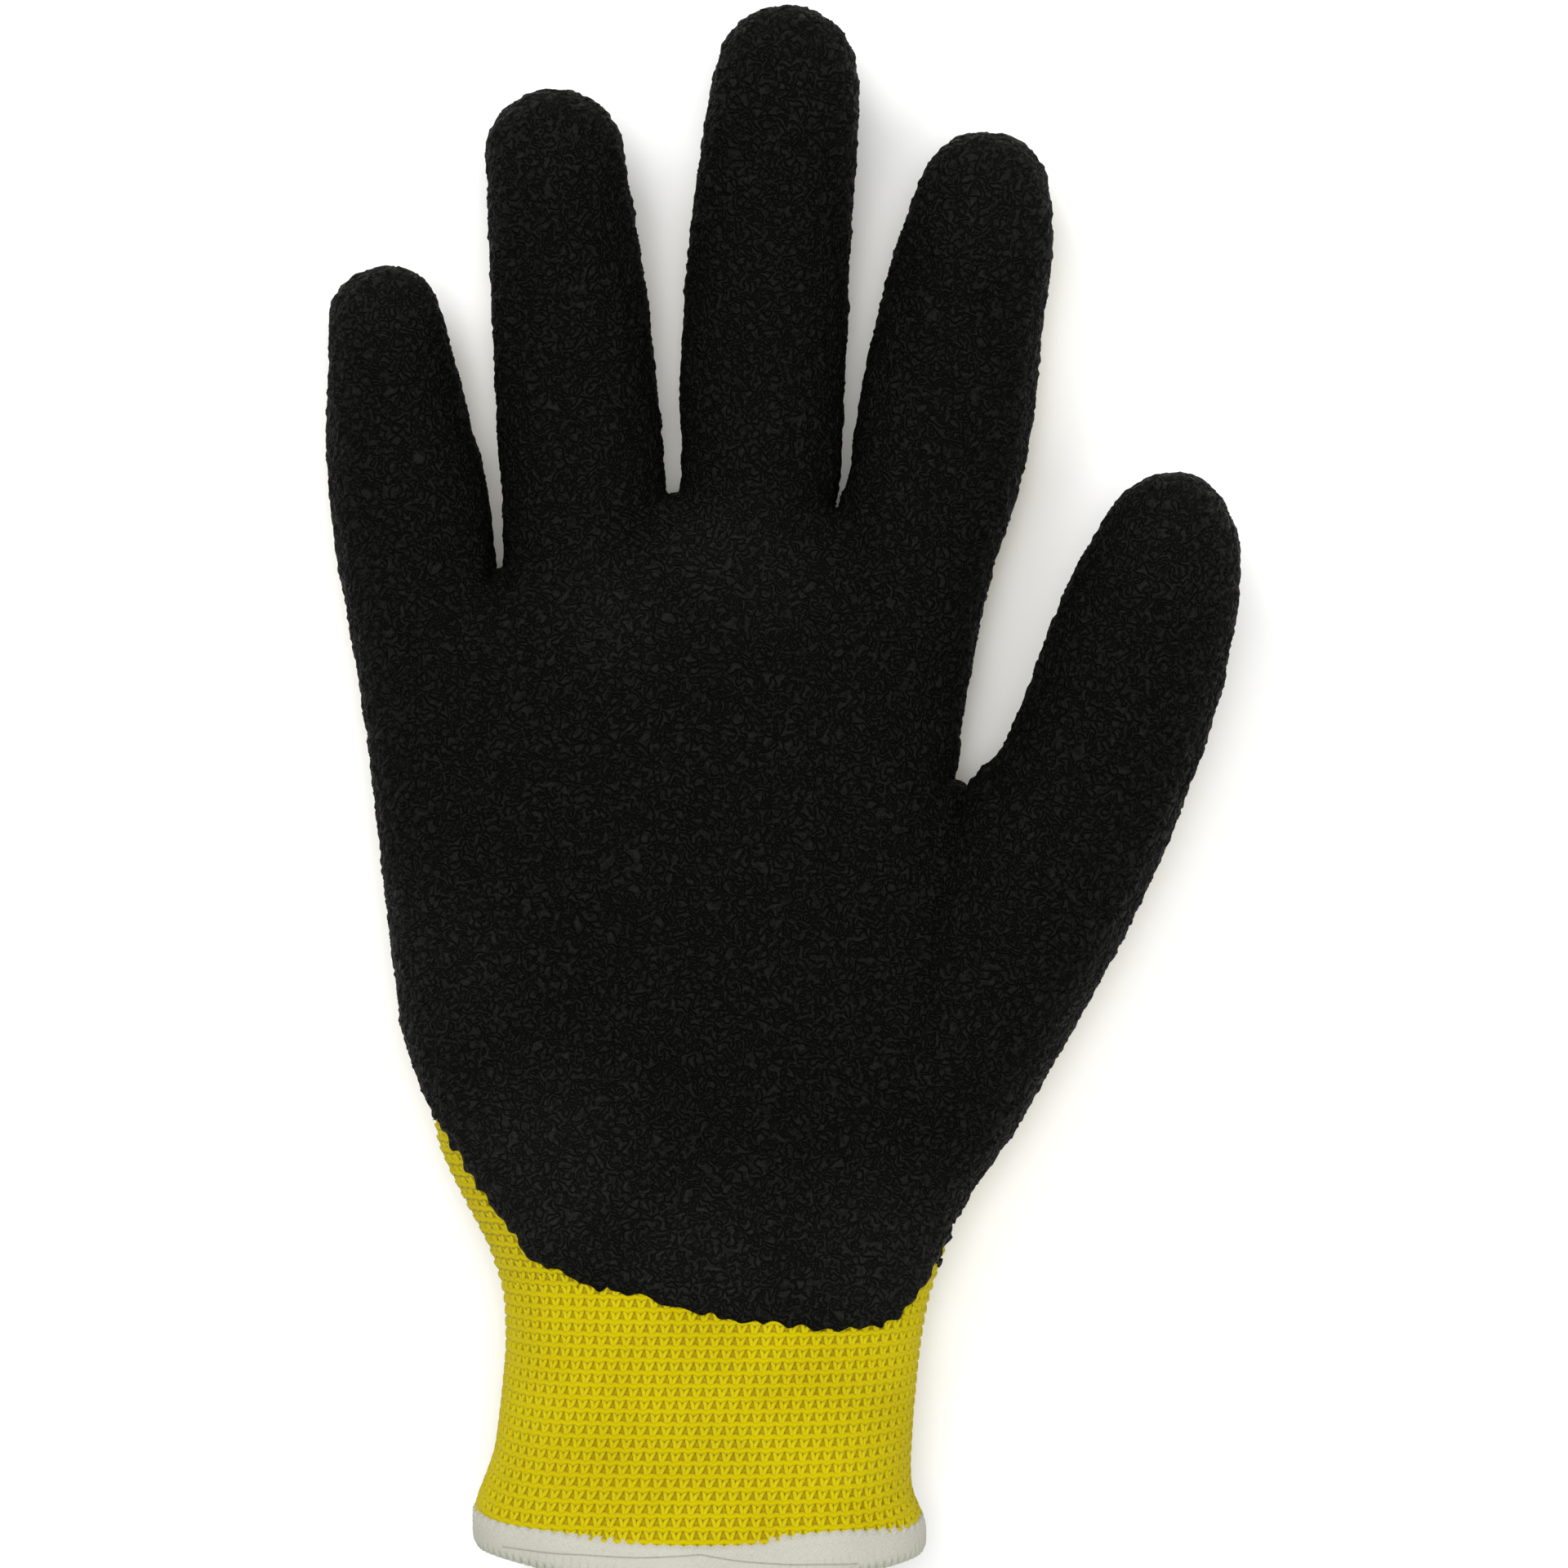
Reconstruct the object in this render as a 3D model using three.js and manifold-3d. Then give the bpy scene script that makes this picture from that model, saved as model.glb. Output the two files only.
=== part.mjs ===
/**
 * Coated knit work glove for the right hand, lying palm up.
 *
 * Millimetres, +Z up, +Y towards the fingertips and +X towards the thumb. The origin is on the surface that
 * the glove lies on, under the middle of the glove.
 *
 * Three pieces: a hollow knitted liner, the crinkled latex coating over its palm side and fingertips, and the
 * binding that wraps the raw edge of the cuff.
 */
import * as THREE from "three";
import { mergeVertices } from "three/addons/utils/BufferGeometryUtils.js";
import Module from "manifold-3d";

const wasm = await Module();
wasm.setup();

const UP = new THREE.Vector3(0, 0, 1);

// Vertices nearer than this are one vertex
const MERGE_DISTANCE = 1e-4;

// Thicknesses and clearances
const WALL = 1.8; // padded winter knit
const COATING = 0.9; // latex, over the knit
const GAP = 0.3; // clearance between pieces that touch on the real glove
const BINDING = 0.8; // binding yarn on each side of the cuff's edge

// Cuff and binding, along Y
const CUFF_END = -121.0;
const BINDING_LENGTH = 6.0;
const LINER_END = CUFF_END + BINDING + GAP;

// How round the sections are: 2 is an ellipse, and more is flatter
const BODY_SQUARENESS = 2.45;
const DIGIT_SQUARENESS = 2.1;
const BODY_SIDES = 30;
const DIGIT_SIDES = 14;

// How far the underside is pressed flat where the glove lies on its back
const FLATTENING = 1.5;

/**
 * Cuff, wrist and palm, from the cuff's edge to the webs between the fingers, as the liner's outer surface.
 * left, right: edges seen from above; top: palm side; rest: height of the flattened underside;
 * hollow: depth of the palm's hollow; sag: how far the palm side of the section leans towards the cuff.
 */
const BODY_ROWS = [
  { y: CUFF_END, left: -47.2, right: 20.6, top: 37.0, rest: 1.1, hollow: 0.0, sag: 4.2 },
  { y: -118.4, left: -47.9, right: 21.0, top: 37.0, rest: 1.1, hollow: 0.0, sag: 4.0 },
  { y: CUFF_END + BINDING_LENGTH, left: -48.2, right: 20.5, top: 36.8, rest: 1.1, hollow: 0.0, sag: 3.7 },
  { y: -109.2, left: -46.8, right: 19.8, top: 36.2, rest: 0.8, hollow: 0.0, sag: 3.0 },
  { y: -98.8, left: -45.1, right: 20.4, top: 35.6, rest: 0.6, hollow: 0.0, sag: 2.0 },
  { y: -88.4, left: -44.2, right: 21.5, top: 35.0, rest: 0.4, hollow: 0.0, sag: 1.1 },
  { y: -80.5, left: -44.6, right: 22.6, top: 34.6, rest: 0.2, hollow: 0.2, sag: 0.5 },
  { y: -72.8, left: -47.3, right: 25.8, top: 34.2, rest: 0.0, hollow: 0.6, sag: 0.2 },
  { y: -65.0, left: -51.3, right: 29.0, top: 34.0, rest: 0.0, hollow: 1.2, sag: 0.0 },
  { y: -57.2, left: -54.9, right: 33.6, top: 33.8, rest: 0.0, hollow: 2.0, sag: 0.0 },
  { y: -46.8, left: -57.4, right: 37.0, top: 33.4, rest: 0.0, hollow: 3.0, sag: 0.0 },
  { y: -34.0, left: -60.2, right: 36.5, top: 32.4, rest: 0.0, hollow: 3.8, sag: 0.0 },
  { y: -20.0, left: -62.0, right: 32.5, top: 31.0, rest: 0.0, hollow: 4.0, sag: 0.0 },
  { y: -5.0, left: -63.6, right: 28.4, top: 29.6, rest: 0.0, hollow: 3.4, sag: 0.0 },
  { y: 8.0, left: -65.2, right: 26.9, top: 28.4, rest: 0.0, hollow: 2.2, sag: 0.0 },
  { y: 19.0, left: -66.9, right: 28.6, top: 27.2, rest: 0.0, hollow: 1.0, sag: 0.0 },
  { y: 27.0, left: -64.5, right: 30.2, top: 25.6, rest: 0.2, hollow: 0.2, sag: 0.0 },
  { y: 33.0, left: -53.0, right: 31.2, top: 23.4, rest: 0.8, hollow: 0.0, sag: 0.0 },
  { y: 40.0, left: -40.0, right: 29.5, top: 19.8, rest: 3.4, hollow: 0.0, sag: 0.0 },
  { y: 44.6, left: -34.0, right: 25.0, top: 15.8, rest: 8.2, hollow: 0.0, sag: 0.0 },
];

/**
 * Each digit's sections from its root, inside the palm, to the centre of its round tip, as the liner's outer
 * surface. x, y, z: centre; half: half the width seen from above; depth: half the thickness.
 */
const DIGITS = {
  little: [
    { x: -55.2, y: 10.0, z: 11.6, half: 9.5, depth: 9.0 },
    { x: -56.6, y: 24.0, z: 11.4, half: 11.2, depth: 10.2 },
    { x: -59.3, y: 42.6, z: 11.3, half: 11.4, depth: 10.0 },
    { x: -60.7, y: 52.0, z: 11.9, half: 10.8, depth: 9.6 },
    { x: -61.9, y: 62.4, z: 13.2, half: 9.6, depth: 8.6 },
    { x: -63.4, y: 73.8, z: 15.2, half: 7.8, depth: 7.0 },
  ],
  ring: [
    { x: -30.6, y: 14.0, z: 12.0, half: 11.0, depth: 10.0 },
    { x: -31.3, y: 32.0, z: 11.8, half: 11.9, depth: 10.9 },
    { x: -32.0, y: 46.8, z: 11.6, half: 11.9, depth: 10.8 },
    { x: -32.7, y: 57.2, z: 11.9, half: 11.8, depth: 10.6 },
    { x: -34.3, y: 79.0, z: 13.8, half: 11.1, depth: 9.9 },
    { x: -35.3, y: 89.0, z: 15.4, half: 10.4, depth: 9.3 },
    { x: -36.6, y: 100.4, z: 17.5, half: 9.2, depth: 8.1 },
  ],
  middle: [
    { x: -5.2, y: 14.0, z: 12.4, half: 11.0, depth: 10.2 },
    { x: -4.6, y: 32.0, z: 12.0, half: 11.9, depth: 11.0 },
    { x: -4.2, y: 46.8, z: 11.7, half: 11.8, depth: 10.9 },
    { x: -3.2, y: 69.0, z: 12.6, half: 12.0, depth: 10.7 },
    { x: -2.6, y: 80.0, z: 13.7, half: 12.0, depth: 10.6 },
    { x: -1.7, y: 92.0, z: 15.4, half: 11.6, depth: 10.2 },
    { x: -0.6, y: 103.0, z: 17.4, half: 11.1, depth: 9.6 },
    { x: 0.3, y: 112.6, z: 19.2, half: 10.2, depth: 8.8 },
  ],
  index: [
    { x: 15.9, y: 13.0, z: 12.4, half: 10.8, depth: 10.2 },
    { x: 19.0, y: 30.0, z: 12.0, half: 12.0, depth: 11.0 },
    { x: 24.4, y: 52.0, z: 11.9, half: 12.6, depth: 10.9 },
    { x: 26.1, y: 62.4, z: 12.5, half: 12.5, depth: 10.8 },
    { x: 27.9, y: 73.0, z: 13.5, half: 11.9, depth: 10.5 },
    { x: 29.8, y: 83.2, z: 14.9, half: 11.1, depth: 9.8 },
    { x: 31.6, y: 93.2, z: 16.6, half: 9.7, depth: 8.6 },
  ],
  thumb: [
    { x: 16.0, y: -66.0, z: 16.0, half: 10.0, depth: 12.0 },
    { x: 24.4, y: -49.0, z: 16.8, half: 12.9, depth: 14.6 },
    { x: 32.0, y: -33.2, z: 17.2, half: 13.8, depth: 15.2 },
    { x: 39.3, y: -18.2, z: 18.0, half: 14.6, depth: 14.8 },
    { x: 45.6, y: -5.2, z: 19.2, half: 14.3, depth: 13.8 },
    { x: 51.4, y: 8.3, z: 20.8, half: 13.7, depth: 12.6 },
    { x: 56.4, y: 21.0, z: 22.6, half: 13.2, depth: 11.6 },
    { x: 59.8, y: 30.5, z: 24.2, half: 11.8, depth: 10.4 },
    { x: 62.0, y: 38.4, z: 25.6, half: 9.9, depth: 9.0 },
  ],
};

// A digit's round tip: how far round each ring lies, from the side of the tip to its end
const TIP_ANGLES = [27, 52, 76];

// Edge of the coating across the palm side of the wrist, seen from above, little-finger side first
const WRIST_EDGE = [
  { x: -70.0, y: -44.0 },
  { x: -56.6, y: -52.7 },
  { x: -46.8, y: -67.0 },
  { x: -37.0, y: -76.3 },
  { x: -28.6, y: -79.7 },
  { x: -7.8, y: -84.2 },
  { x: 13.0, y: -86.8 },
  { x: 18.9, y: -83.2 },
  { x: 24.4, y: -74.5 },
  { x: 29.3, y: -66.3 },
  { x: 44.0, y: -56.0 },
];
const WRIST_EDGE_POINTS = 22;

// Height of the coating's lower edge round the sides and the fingertips, and how far it rises at the thumb
const DIP_ROWS = [
  { y: -100.0, level: 16.5, rise: 0.0 },
  { y: -66.0, level: 16.0, rise: 1.5 },
  { y: -48.0, level: 12.5, rise: 3.0 },
  { y: -28.0, level: 9.0, rise: 4.5 },
  { y: 10.0, level: 7.8, rise: 6.0 },
  { y: 60.0, level: 7.8, rise: 8.5 },
  { y: 130.0, level: 8.6, rise: 8.5 },
];
const DIP = { thumbFrom: 24, thumbTo: 62, reach: 100, top: 60 };

/** Raises a cosine or sine to a power and keeps its sign, which draws a squared ellipse. */
function squared(value, squareness) {
  return Math.sign(value) * Math.abs(value) ** (2 / squareness);
}

/** Points of a closed section, made by calling place(cosine, sine) round a squared circle. */
function section(sides, squareness, place) {
  const points = [];
  for (let i = 0; i < sides; i += 1) {
    const angle = (2 * Math.PI * (i + 0.5)) / sides;
    points.push(place(squared(Math.cos(angle), squareness), squared(Math.sin(angle), squareness)));
  }
  return points;
}

/** The mean of some points. */
function middleOf(points) {
  const sum = points.reduce((total, point) => total.add(point), new THREE.Vector3());
  return sum.divideScalar(points.length);
}

/** A manifold solid from a closed three.js geometry, turned face out if it came inside out. */
function solidFrom(geometry) {
  const bare = geometry.index ? geometry.toNonIndexed() : geometry.clone();
  bare.deleteAttribute("normal");
  bare.deleteAttribute("uv");
  const merged = mergeVertices(bare, MERGE_DISTANCE);
  const make = (triVerts) =>
    new wasm.Manifold(
      new wasm.Mesh({
        numProp: 3,
        vertProperties: new Float32Array(merged.attributes.position.array),
        triVerts,
      }),
    );
  const triangles = new Uint32Array(merged.index.array);
  const solid = make(triangles);
  return solid.volume() < 0 ? make(triangles.slice().reverse()) : solid;
}

/** Skins a row of sections, all with as many points, and closes both ends. */
function loft(rings) {
  const sides = rings[0].length;
  const points = [...rings.flat(), middleOf(rings[0]), middleOf(rings.at(-1))];
  const firstEnd = points.length - 2;
  const lastEnd = points.length - 1;
  const lastRing = (rings.length - 1) * sides;
  const faces = [];
  for (let side = 0; side < sides; side += 1) {
    const next = (side + 1) % sides;
    for (let ring = 0; ring < lastRing; ring += sides) {
      faces.push(ring + side, ring + next, ring + sides + next);
      faces.push(ring + side, ring + sides + next, ring + sides + side);
    }
    faces.push(firstEnd, next, side);
    faces.push(lastEnd, lastRing + side, lastRing + next);
  }
  const geometry = new THREE.BufferGeometry().setFromPoints(points);
  geometry.setIndex(faces);
  return solidFrom(geometry);
}

/** The body's row at a place between two of the table's rows, or the end row at a place past either end. */
function bodyRowAt(y) {
  const within = THREE.MathUtils.clamp(y, BODY_ROWS[0].y, BODY_ROWS.at(-1).y);
  const after = Math.max(
    1,
    BODY_ROWS.findIndex((row) => row.y >= within),
  );
  const [low, high] = [BODY_ROWS[after - 1], BODY_ROWS[after]];
  const share = (within - low.y) / (high.y - low.y);
  const row = {};
  for (const column of Object.keys(low)) {
    row[column] = THREE.MathUtils.lerp(low[column], high[column], share);
  }
  row.y = y;
  return row;
}

/** One section of the cuff, wrist or palm, grown outwards. */
function bodySection(row, grow) {
  const base = row.rest - FLATTENING;
  const middle = { x: (row.left + row.right) / 2, z: (row.top + base) / 2 };
  const half = (row.right - row.left) / 2 + grow;
  const depth = (row.top - base) / 2 + grow;
  return section(BODY_SIDES, BODY_SQUARENESS, (across, up) => {
    const dip = row.hollow * Math.max(0, up) * (1 - across ** 2);
    const z = Math.max(middle.z + depth * up - dip, row.rest - grow);
    return new THREE.Vector3(middle.x + half * across, row.y - row.sag * up, z);
  });
}

/** The cuff, wrist and palm between two places along Y, grown outwards. */
function body(grow, from, to) {
  const between = BODY_ROWS.filter((row) => row.y > from && row.y < to);
  const rows = [bodyRowAt(from), ...between, bodyRowAt(to)];
  return loft(rows.map((row) => bodySection(row, grow)));
}

/** Centre, direction and sizes of a digit at each of its rows, with its direction taken from its neighbours. */
function digitStations(rows) {
  const centres = rows.map((row) => new THREE.Vector3(row.x, row.y, row.z));
  return rows.map((row, i) => {
    const before = centres[Math.max(0, i - 1)];
    const after = centres[Math.min(rows.length - 1, i + 1)];
    const along = after.clone().sub(before).normalize();
    const across = along.clone().cross(UP).normalize();
    const up = across.clone().cross(along);
    return { centre: centres[i], along, across, up, half: row.half, depth: row.depth };
  });
}

/** One section of a digit, scaled about a centre that lies a little way along it. */
function digitSection(station, grow, scale = 1, advance = 0) {
  const { centre, along, across, up, half, depth } = station;
  return section(DIGIT_SIDES, DIGIT_SQUARENESS, (sideways, upwards) =>
    centre
      .clone()
      .addScaledVector(along, advance)
      .addScaledVector(across, sideways * (half + grow) * scale)
      .addScaledVector(up, upwards * (depth + grow) * scale),
  );
}

/** A digit with its round tip, grown outwards. */
function digit(rows, grow) {
  const stations = digitStations(rows);
  const tip = stations.at(-1);
  const rings = stations.map((station) => digitSection(station, grow));
  for (const degrees of TIP_ANGLES) {
    const angle = THREE.MathUtils.degToRad(degrees);
    rings.push(digitSection(tip, grow, Math.cos(angle), (tip.half + grow) * Math.sin(angle)));
  }
  return loft(rings);
}

/** The whole hand form, grown outwards, from a place along Y in the cuff. */
function handForm(grow, from) {
  let form = body(grow, from, BODY_ROWS.at(-1).y + grow);
  for (const rows of Object.values(DIGITS)) form = form.add(digit(rows, grow));
  return form;
}

/** The space that the coating takes: over its lower edge round the sides and the fingertips. */
function aboveDip() {
  const { thumbFrom, thumbTo, reach, top } = DIP;
  const rings = DIP_ROWS.map(({ y, level, rise }) => [
    new THREE.Vector3(-reach, y, level),
    new THREE.Vector3(thumbFrom, y, level),
    new THREE.Vector3(thumbTo, y, level + rise),
    new THREE.Vector3(reach, y, level + rise),
    new THREE.Vector3(reach, y, top),
    new THREE.Vector3(-reach, y, top),
  ]);
  return loft(rings);
}

/** The space on the fingers' side of the coating's edge at the wrist. */
function beyondWristEdge() {
  const curve = new THREE.SplineCurve(WRIST_EDGE.map(({ x, y }) => new THREE.Vector2(x, y)));
  const points = curve.getPoints(WRIST_EDGE_POINTS);
  const far = { x: DIP.reach, y: DIP_ROWS.at(-1).y };
  points.push(new THREE.Vector2(far.x, points.at(-1).y), new THREE.Vector2(far.x, far.y));
  points.push(new THREE.Vector2(-far.x, far.y), new THREE.Vector2(-far.x, points[0].y));
  const slab = new THREE.ExtrudeGeometry(new THREE.Shape(points), {
    depth: DIP.top,
    bevelEnabled: false,
    steps: 1,
  });
  return solidFrom(slab);
}

/** Hollow liner: cuff, palm and five stalls, open at the cuff. */
function knitLiner() {
  const cavity = handForm(-WALL, CUFF_END - 2 * WALL);
  return handForm(0, LINER_END).subtract(cavity);
}

/** Latex skin over the palm side, the sides and the fingertips. */
function latexCoating() {
  const from = DIP_ROWS[0].y;
  const skin = handForm(GAP + COATING, from).subtract(handForm(GAP, from - WALL));
  return skin.intersect(aboveDip()).intersect(beyondWristEdge());
}

/** Binding round the cuff's edge, with a channel that holds the liner. */
function cuffBinding() {
  const proud = GAP + BINDING;
  const top = CUFF_END + BINDING_LENGTH;
  const outside = body(proud, CUFF_END, top);
  const inside = body(-WALL - proud, CUFF_END - WALL, top + WALL);
  const channel = body(GAP, CUFF_END + BINDING, top + WALL).subtract(
    body(-WALL - GAP, CUFF_END, top + 2 * WALL),
  );
  return outside.subtract(inside).subtract(channel);
}

/** A named mesh of a solid, in its own material. */
function piece(name, solid, material) {
  const mesh = solid.getMesh();
  const geometry = new THREE.BufferGeometry();
  geometry.setAttribute("position", new THREE.Float32BufferAttribute(mesh.vertProperties, 3));
  geometry.setIndex([...mesh.triVerts]);
  geometry.computeVertexNormals();
  const made = new THREE.Mesh(geometry, new THREE.MeshStandardMaterial(material));
  made.name = name;
  return made;
}

const glove = new THREE.Group();
glove.add(
  piece("knit_liner", knitLiner(), { color: 0xd8ca0a, roughness: 0.9, metalness: 0 }),
  piece("latex_coating", latexCoating(), { color: 0x161715, roughness: 0.7, metalness: 0 }),
  piece("cuff_binding", cuffBinding(), { color: 0xcfcdc2, roughness: 0.9, metalness: 0 }),
);

// The origin: the middle of the glove seen from above, on the surface that it lies on
const extent = new THREE.Box3().setFromObject(glove);
const middle = extent.getCenter(new THREE.Vector3());
glove.position.set(-middle.x, -middle.y, -extent.min.z);

export default glove;
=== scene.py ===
"""Right-hand knitted work glove with a crinkled latex grip, lying palm up.

The knitted liner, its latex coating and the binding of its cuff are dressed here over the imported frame:
yarn loops one by one where the knit shows, a crinkled latex skin with a ragged edge, and an overlocked
cuff edge.
"""

import logging
import math
from collections.abc import Callable, Iterable, Iterator, Sequence
from contextlib import contextmanager
from dataclasses import dataclass, field
from enum import Enum
from functools import partial

import bmesh
import bpy
import numpy as np
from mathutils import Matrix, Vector, noise
from mathutils.bvhtree import BVHTree


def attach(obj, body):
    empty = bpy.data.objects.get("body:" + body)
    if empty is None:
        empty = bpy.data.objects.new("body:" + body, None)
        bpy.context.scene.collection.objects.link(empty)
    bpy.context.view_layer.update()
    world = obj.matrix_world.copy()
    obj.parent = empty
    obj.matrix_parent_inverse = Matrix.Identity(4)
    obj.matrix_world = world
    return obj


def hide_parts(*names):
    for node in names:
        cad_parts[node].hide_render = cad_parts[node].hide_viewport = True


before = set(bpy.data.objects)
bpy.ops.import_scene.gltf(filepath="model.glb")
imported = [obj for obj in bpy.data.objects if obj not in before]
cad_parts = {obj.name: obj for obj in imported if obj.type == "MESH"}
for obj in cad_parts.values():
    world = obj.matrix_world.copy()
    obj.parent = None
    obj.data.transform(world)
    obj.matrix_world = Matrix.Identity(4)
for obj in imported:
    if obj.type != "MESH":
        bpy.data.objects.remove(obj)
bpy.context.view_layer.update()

log = logging.getLogger("glove")

MM = 0.001
BODY = "root"
Array = np.ndarray
Rows = tuple[tuple[float, ...], ...]

# Where the hand's own axes cross, in the frame, in millimetres
HAND_ORIGIN = np.array([-0.163, 0.629, 0.0])

# Places along the hand, in millimetres from its own axes
CUFF_END = -121.0
BINDING_TOP = -114.6

# Half the cuff's height, in millimetres
HALF_HEIGHT = 18.0

# From one course of the knit to the next, and from the binding to the first course, in millimetres
COURSE = 1.82
FIRST_COURSE = 0.95

# How far the palm side of a course leans towards the cuff: places along the hand, and millimetres there
SAG_PLACES = (-121.0, -109.2, -98.8, -88.4, -80.5, -70.0)
SAGS = (4.7, 3.3, 2.1, 1.1, 0.5, 0.0)

# Middles of the hand's sections, from the cuff to the fingers: y, x and z, in millimetres
SECTION_MIDDLES = np.array(
    [
        (-125.0, -13.5, 18.5), (-88.0, -11.5, 17.5), (-60.0, -11.0, 16.5), (-20.0, -13.0, 15.0),
        (20.0, -16.0, 13.5), (50.0, -10.0, 12.0),
    ]
)


class Slot(Enum):
    """The record's material slots."""

    KNIT = "yellow_knit"
    LATEX = "black_latex"
    BINDING = "white_binding"


def to_frame(points: Array) -> Array:
    """Turns points of the hand, in millimetres, into points of the frame, in metres."""
    return (np.asarray(points, float) + HAND_ORIGIN) * MM


def to_hand(points: Array) -> Array:
    """Turns points of the frame, in metres, into points of the hand, in millimetres."""
    return np.asarray(points, float) / MM - HAND_ORIGIN


def course_at(count: int) -> float:
    """Where a course of the hand lies along it, counted from the first above the binding."""
    return BINDING_TOP + FIRST_COURSE + count * COURSE


def sag_at(y: Array) -> Array:
    """How far the palm side of a course leans towards the cuff, at a place along the hand."""
    return np.interp(y, SAG_PLACES, SAGS)


def smoothstep(low: float, high: float, value: Array) -> Array:
    """Rises smoothly from 0 at low to 1 at high."""
    share = np.clip((value - low) / (high - low), 0.0, 1.0)
    return share * share * (3.0 - 2.0 * share)


def roughness_of(points: Array, size: float, seed: float = 0.0) -> Array:
    """Smooth noise between about -1 and 1.

    Args:
        points: where it is read, in millimetres.
        size: how far apart its bumps lie, in millimetres.
        seed: shifts the pattern.

    Returns:
        One value for each point.
    """
    offset = Vector((seed, 1.7 * seed, -0.6 * seed))
    return np.array([noise.noise(Vector(point) / size + offset) for point in points])


def lengths_along(points: Array) -> Array:
    """How far along a row of points each of them lies."""
    return np.concatenate(([0.0], np.cumsum(np.linalg.norm(np.diff(points, axis=0), axis=1))))


def rows_between(where: Array, places: Array, rows: Array) -> Array:
    """Rows of values, read between the places that have one."""
    return np.stack([np.interp(where, places, column) for column in rows.T], -1)


def grid_between(grid: Array, row: Array, column: Array) -> Array:
    """Vectors read between those of a grid.

    Args:
        grid: a vector for each row and column.
        row: which rows, with fractions between them.
        column: which columns, with fractions between them.

    Returns:
        One vector for each pair of a row and a column.
    """
    r = np.clip(row.astype(int), 0, grid.shape[0] - 2)
    c = np.clip(column.astype(int), 0, grid.shape[1] - 2)
    u, v = (row - r)[:, None], (column - c)[:, None]
    near = grid[r, c] * (1 - v) + grid[r, c + 1] * v
    far = grid[r + 1, c] * (1 - v) + grid[r + 1, c + 1] * v
    return near * (1 - u) + far * u


def positions(mesh: bpy.types.Mesh) -> Array:
    """A mesh's vertex positions, one row each."""
    flat = np.empty(len(mesh.vertices) * 3)
    mesh.vertices.foreach_get("co", flat)
    return flat.reshape(-1, 3)


def set_positions(mesh: bpy.types.Mesh, points: Array) -> None:
    """Moves a mesh's vertices."""
    mesh.vertices.foreach_set("co", np.asarray(points, np.float32).ravel())
    mesh.update()


def normals(mesh: bpy.types.Mesh) -> Array:
    """A mesh's vertex normals, one row each."""
    flat = np.empty(len(mesh.vertices) * 3, np.float32)
    mesh.vertex_normals.foreach_get("vector", flat)
    return flat.reshape(-1, 3).astype(float)


def new_object(name: str, data: bpy.types.ID) -> bpy.types.Object:
    """Links a new object to the scene."""
    made = bpy.data.objects.new(name, data)
    bpy.context.scene.collection.objects.link(made)
    return made


def settle(piece: bpy.types.Object) -> bpy.types.Object:
    """Turns an object, with its modifiers or its bevel, into one plain mesh.

    Args:
        piece: a mesh or curve object.

    Returns:
        A mesh object of the same name.
    """
    graph = bpy.context.evaluated_depsgraph_get()
    mesh = bpy.data.meshes.new_from_object(piece.evaluated_get(graph), depsgraph=graph)
    name = piece.name
    bpy.data.objects.remove(piece)
    mesh.name = name
    return new_object(name, mesh)


@contextmanager
def editing(mesh: bpy.types.Mesh) -> Iterator[bmesh.types.BMesh]:
    """Opens a mesh for editing, and writes it back afterwards."""
    work = bmesh.new()
    work.from_mesh(mesh)
    yield work
    work.to_mesh(mesh)
    work.free()


def patch_of(vert: bmesh.types.BMVert) -> set[bmesh.types.BMVert]:
    """All the vertices that hang together with one."""
    patch, front = {vert}, [vert]
    while front:
        around = {edge.other_vert(item) for item in front for edge in item.link_edges}
        front = list(around - patch)
        patch |= around
    return patch


def open_edge(work: bmesh.types.BMesh) -> list[bmesh.types.BMEdge]:
    """The edges where a surface ends."""
    return [edge for edge in work.edges if edge.is_boundary]


def grow_edge(work: bmesh.types.BMesh) -> list[bmesh.types.BMVert]:
    """Extrudes a surface where it ends, and returns the new vertices, which haven't moved yet."""
    grown = bmesh.ops.extrude_edge_only(work, edges=open_edge(work))["geom"]
    return [item for item in grown if isinstance(item, bmesh.types.BMVert)]


def new_mesh(name: str, work: bmesh.types.BMesh) -> bpy.types.Mesh:
    """Makes a mesh of finished geometry, and frees that."""
    mesh = bpy.data.meshes.new(name)
    work.to_mesh(mesh)
    work.free()
    return mesh


def shade_smooth(mesh: bpy.types.Mesh) -> None:
    """Shades every face of a mesh smoothly."""
    mesh.polygons.foreach_set("use_smooth", [True] * len(mesh.polygons))
    mesh.update()


def triangles(piece: bpy.types.Object) -> int:
    """How many triangles a mesh object has."""
    return sum(len(face.vertices) - 2 for face in piece.data.polygons)


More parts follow.
